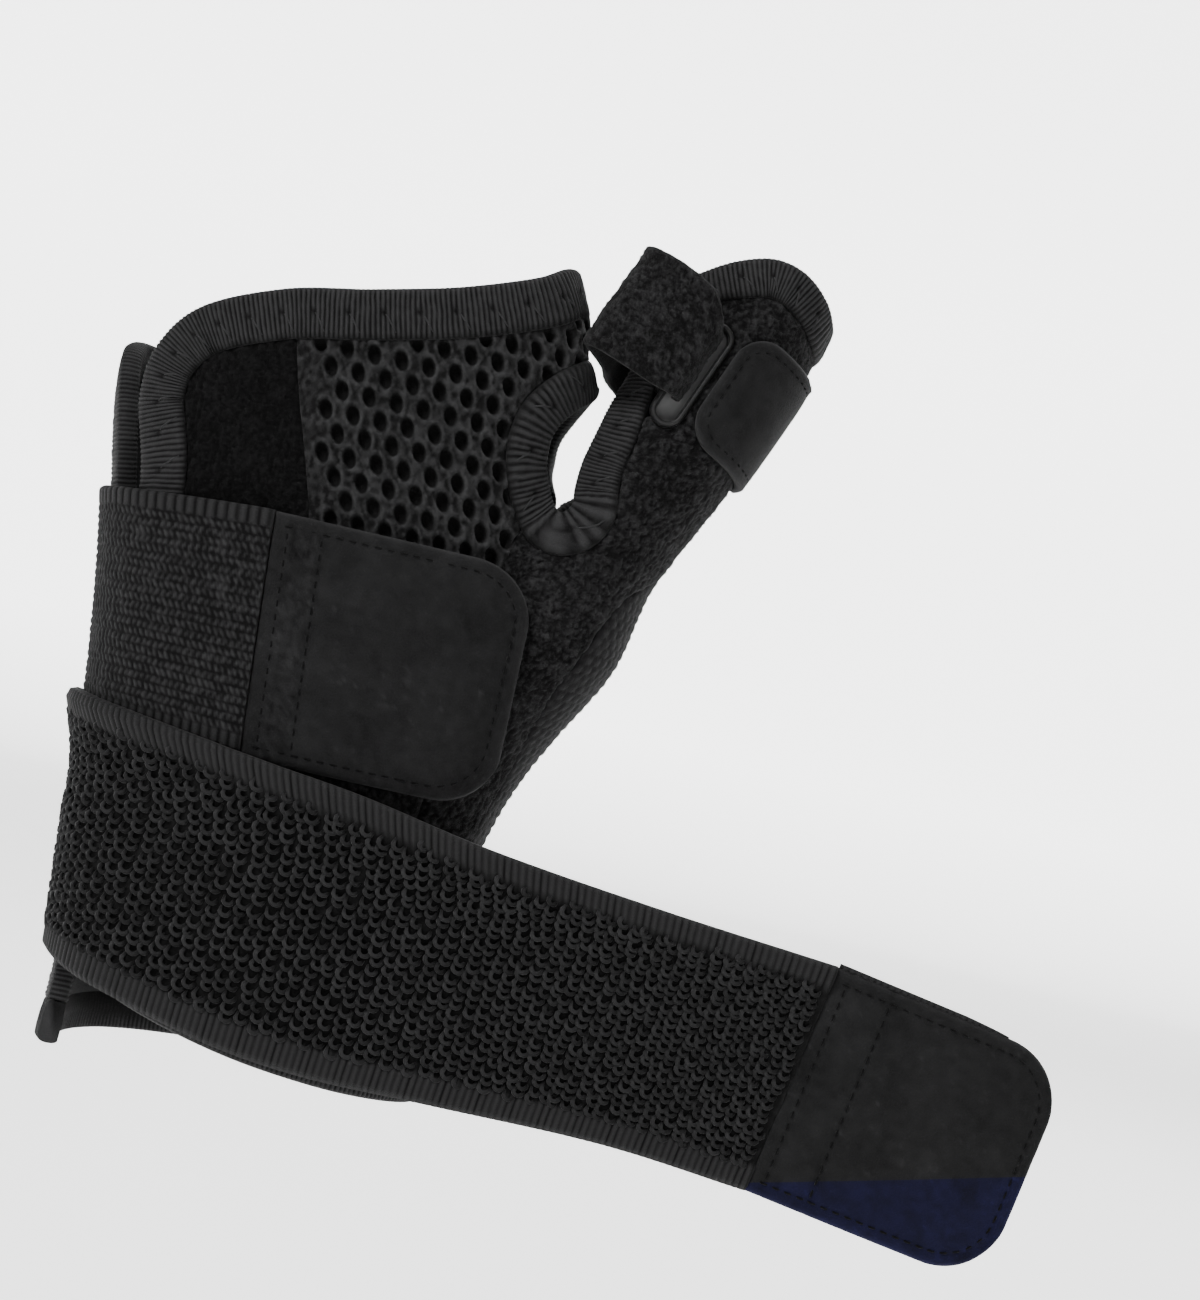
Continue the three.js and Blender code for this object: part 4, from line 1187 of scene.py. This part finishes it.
def waffle(across, along):
    def height(flat, edge, base):
        s, t = flat[:, 0], flat[:, 1]
        row = np.floor(t / along)
        cell = np.abs(np.sin(pi * (s / across + 0.5 * (row % 2)))) * np.abs(np.sin(pi * t / along))
        rise = 0.38 * cell ** 0.7 + 0.1 * grain(base, 0.8, 61)
        # tone follows the relief: painted highlight on the raised cells, painted shade in the grooves
        return rise - 0.28 - 0.4 * clamp(1 - edge / 1.0) ** 2, clamp(0.05 + 2.1 * rise)
    return height


# the mesh's holes: spacing, row height, shift from row to row, slant, half width and half length
HOLE_STEP, HOLE_ROW, HOLE_SHIFT, HOLE_LEAN, HOLE_WIDE, HOLE_LONG = 5.4, 4.15, 2.25, 0.2, 1.44, 2.02
# seam with the patch, columns: z, x
PATCH_SEAM = np.array([(70, -6), (77, -7.6), (92, -12.4), (108, -17.6), (124, -22.8)], dtype=float)


def hole_size(flat, centres):
    """How far each point is from the nearest hole's centre, with the hole's edge near 1."""
    def measure(way):
        x, y = way[..., 0], way[..., 1]
        return np.hypot((x - HOLE_LEAN * y) / HOLE_WIDE, y / HOLE_LONG)

    return least(flat, centres, measure) if len(centres) else np.full(len(flat), 9.0)


class Perforation:
    """Staggered oval holes over a panel laid flat, none of them until rings places them."""

    centres = whole = np.zeros((0, 2))

    def rings(self, loops):
        everything = np.vstack(loops)
        low, high = everything.min(0), everything.max(0)
        centres = []
        for j in range(int((high[1] - low[1]) / HOLE_ROW) + 3):
            for i in range(-30, 60):
                centres.append((low[0] + i * HOLE_STEP - j * HOLE_SHIFT, low[1] + 2.2 + j * HOLE_ROW))
        centres = np.array(centres)
        centres = centres[inside(centres, loops)]
        x = HAND_SKIN.raise_(centres)[:, 0]
        self.centres = centres[x > column(*PATCH_SEAM.T, centres[:, 1]) + 3.5]
        self.whole = self.centres[edge_distance(self.centres, loops) > 1.75]
        turn = np.linspace(0, 2 * pi, 18, endpoint=False)
        out = []
        for c in self.whole:
            for size in (0.62, 0.86, 1.04):
                x, y = size * HOLE_WIDE * np.cos(turn), size * HOLE_LONG * np.sin(turn)
                out.append(np.stack([c[0] + x + HOLE_LEAN * y, c[1] + y], axis=1))
        return out

    def keep(self, field):
        """Field points clear of the holes' own rings."""
        return hole_size(field, self.whole) > 1.16

    def height(self, flat, edge, base):
        r = hole_size(flat, self.centres)
        wall = np.interp(r, [0.66, 0.84, 0.9, 1.02, 1.18, 1.4, 1.7], [-1.9, -1.75, -0.9, -0.15, 0.28, 0.1, 0.0])
        wall = np.where(wall < 0, wall * np.clip(edge / 1.3, 0.1, 1), wall)
        knit = np.where(r > 1.0, grain(base * np.array([1.0, 1.0, 0.6]), 0.62, 71), 0)
        rise = wall + 0.26 * knit
        # dark hole walls are painted shade in the holes; the lighter ring round each hole and the lighter raised
        # knit are painted highlight
        tone = np.interp(r, [0.8, 0.9, 1.02, 1.1, 1.2, 1.4, 1.6], [0.0, 0.05, 0.55, 0.85, 0.8, 0.4, 0.3])
        tone = clamp(tone + 0.5 * knit)
        return rise - 0.3 * clamp(1 - edge / 1.0) ** 2, tone


def sheet_piece(node, part, material):
    obj = make(node + "_cloth", part, material, node)


back_mesh = Perforation()
panel = panel_part("mesh_panel", HAND_SKIN, 60, 0.5, back_mesh.height, 0.8, back_mesh.rings, back_mesh.keep)
sheet_piece("mesh_panel", panel, MESH)
panel = panel_part("web_panel", HAND_SKIN, -20, 0.6, Perforation().height, 0.7, inner=2.0)
sheet_piece("web_panel", panel, MESH)
# columns: node, skin, middle angle, spacing, relief, border step, material, slot, flat size, flat area
panels = (
    ("ulnar_loop_patch", HAND_SKIN, 120, 0.42, fleece(101), 0.8, FLEECE_DEEP, "loop_fleece", (0.028, 0.046), 0.0009),
    ("wrist_loop_panel", HAND_SKIN, 90, 0.65, fleece(111), 1.0, FLEECE, "loop_fleece", (0.066, 0.1), 0.005),
    ("thumb_loop_panel", THUMB_SKIN, 70, 0.42, fleece(121), 0.8, FLEECE, "loop_fleece", (0.06, 0.17), 0.0038),
    ("thumb_back_panel", THUMB_SKIN, -80, 0.48, fleece(131), 0.8, FLEECE, "loop_fleece", (0.036, 0.056), 0.0013),
    ("side_knit_panel", THUMB_SKIN, -20, 0.62, waffle(2.5, 2.0), 0.8, KNIT, "waffle_knit", (0.06, 0.115), 0.0043),
)
for node, skin, middle, spacing, relief, step, material, slot, flat, area in panels:
    sheet_piece(node, panel_part(node, skin, middle, spacing, relief, step), material)
panel = panel_part("palm_panel", HAND_SKIN, -125, 0.75, waffle(3.4, 3.0), 1.0, close=PALM_CLOSE)
sheet_piece("palm_panel", panel, KNIT)

split = int(np.argmin(np.abs(ring_angle(HAND, EDGES["outer"][:250]))))
tapes = (
    ("dorsal_edge_binding", EDGES["outer"][:split], EDGE_TAPE),
    ("palm_edge_binding", EDGES["outer"][split:], EDGE_TAPE),
    ("wrist_binding", EDGES["wrist"], WRIST_TAPE),
    ("thumb_hole_binding", EDGES["hole"], HOLE_TAPE),
    ("thumb_rim_binding", EDGES["rim"], RIM_TAPE),
)
for node, line, width in tapes:
    flat = (2 * width * MM, float(lengths(line)[-1]) * MM)
    sheet_piece(node, tape_part(line, width), RIBBED)

sheet_piece("upper_strap", upper_strap_part(), ELASTIC)
loops = make("lower_strap_loops", lower_loops_part(), YARN, "lower_strap")
sheet_piece("lower_strap", lower_strap_part(), YARN)
sheet_piece("upper_strap_tab", upper_tab_part(), SUEDE)
sheet_piece("lower_strap_tab", lower_tab_part(), SUEDE_BLUE)
sheet_piece("thumb_strap", thumb_strap_part(), FLEECE)
sheet_piece("thumb_strap_tab", thumb_tab_part(), SUEDE)
make("thumb_slot_ring", slot_part(), PLASTIC, "thumb_slot_eyelet")

# ---- camera, light and studio
LENS, CAMERA_PLACE = 90, (53, -600, 63.6)
right = Vector((cos(LEAN), 0, sin(LEAN)))
up = Vector((-sin(LEAN), 0, cos(LEAN)))
lens = bpy.data.cameras.new("camera")
lens.sensor_fit = "HORIZONTAL"
lens.sensor_width = 36
lens.lens = LENS
lens.clip_start = 0.01
camera = placed("camera", lens)
turn = Matrix((right, up, right.cross(up))).transposed().to_4x4()
camera.matrix_world = Matrix.Translation(Vector(CAMERA_PLACE) * MM) @ turn
bpy.context.scene.camera = camera


def area_light(name, place, aim, size, power):
    data = bpy.data.lights.new(name, "AREA")
    data.shape = "DISK"
    data.size = size
    data.energy = power
    obj = placed(name, data)
    obj.location = place
    obj.rotation_euler = (Vector(aim) - Vector(place)).to_track_quat("-Z", "Y").to_euler()


AIM = (0.03, 0, 0.05)
area_light("key", (-0.55, -0.75, 1.0), AIM, 0.4, 27)
area_light("fill", (0.9, -0.8, 0.2), AIM, 0.9, 2.5)
area_light("top", (0.2, 0.1, 1.3), AIM, 0.6, 15)
area_light("rim", (0.5, 0.8, 0.6), AIM, 0.6, 6)

AMBIENT = 0.15
world = bpy.data.worlds.new("studio")
world.use_nodes = True
put(world.node_tree.nodes["Background"], Color=(1, 1, 1, 1), Strength=AMBIENT)
bpy.context.scene.world = world


# a pale round floor that curves up into a wall, brightest behind the sleeve
FLOOR_Z, BOWL, SWEEP, WALL_LOW, WALL_HIGH, TURNS = -0.12, 2.3, 0.55, 0.5, 1.05, 64
FLOOR_GLOW, WALL_GLOW = 0.8, 2.2
profile = [(0.02, FLOOR_Z, 0), (0.8, FLOOR_Z, 0), (BOWL - SWEEP - 0.4, FLOOR_Z, 0)]
for k in range(13):
    bend = pi / 2 * k / 12
    profile.append((BOWL - SWEEP + SWEEP * sin(bend), FLOOR_Z + SWEEP * (1 - cos(bend)), min(k / 5, 1)))
profile.append((BOWL, WALL_LOW, 1))
points, glows, faces = [], [], []
for r, (radius, z, wall) in enumerate(profile):
    for k in range(TURNS):
        turn = 2 * pi * k / TURNS
        behind = max(sin(turn), 0) ** 0.6
        top = (WALL_HIGH - WALL_LOW) * behind if r == len(profile) - 1 else 0
        points.append((radius * cos(turn), radius * sin(turn), z + top))
        glows.append(FLOOR_GLOW + wall * WALL_GLOW * behind)
        if r:
            a, b = (r - 1) * TURNS + k, (r - 1) * TURNS + (k + 1) % TURNS
            faces.append((a, b, b + TURNS, a + TURNS))
faces.append(tuple(range(TURNS))[::-1])
pale, tree, shader = new_material("pale_sheet", Base_Color=(0.9, 0.9, 0.9, 1), Roughness=0.9,
                                  Emission_Color=(1, 1, 1, 1))
put(shader, Emission_Strength=stored(tree, "glow"))
sheet = mesh_object("studio_sheet", points, faces, "glow", glows, pale)
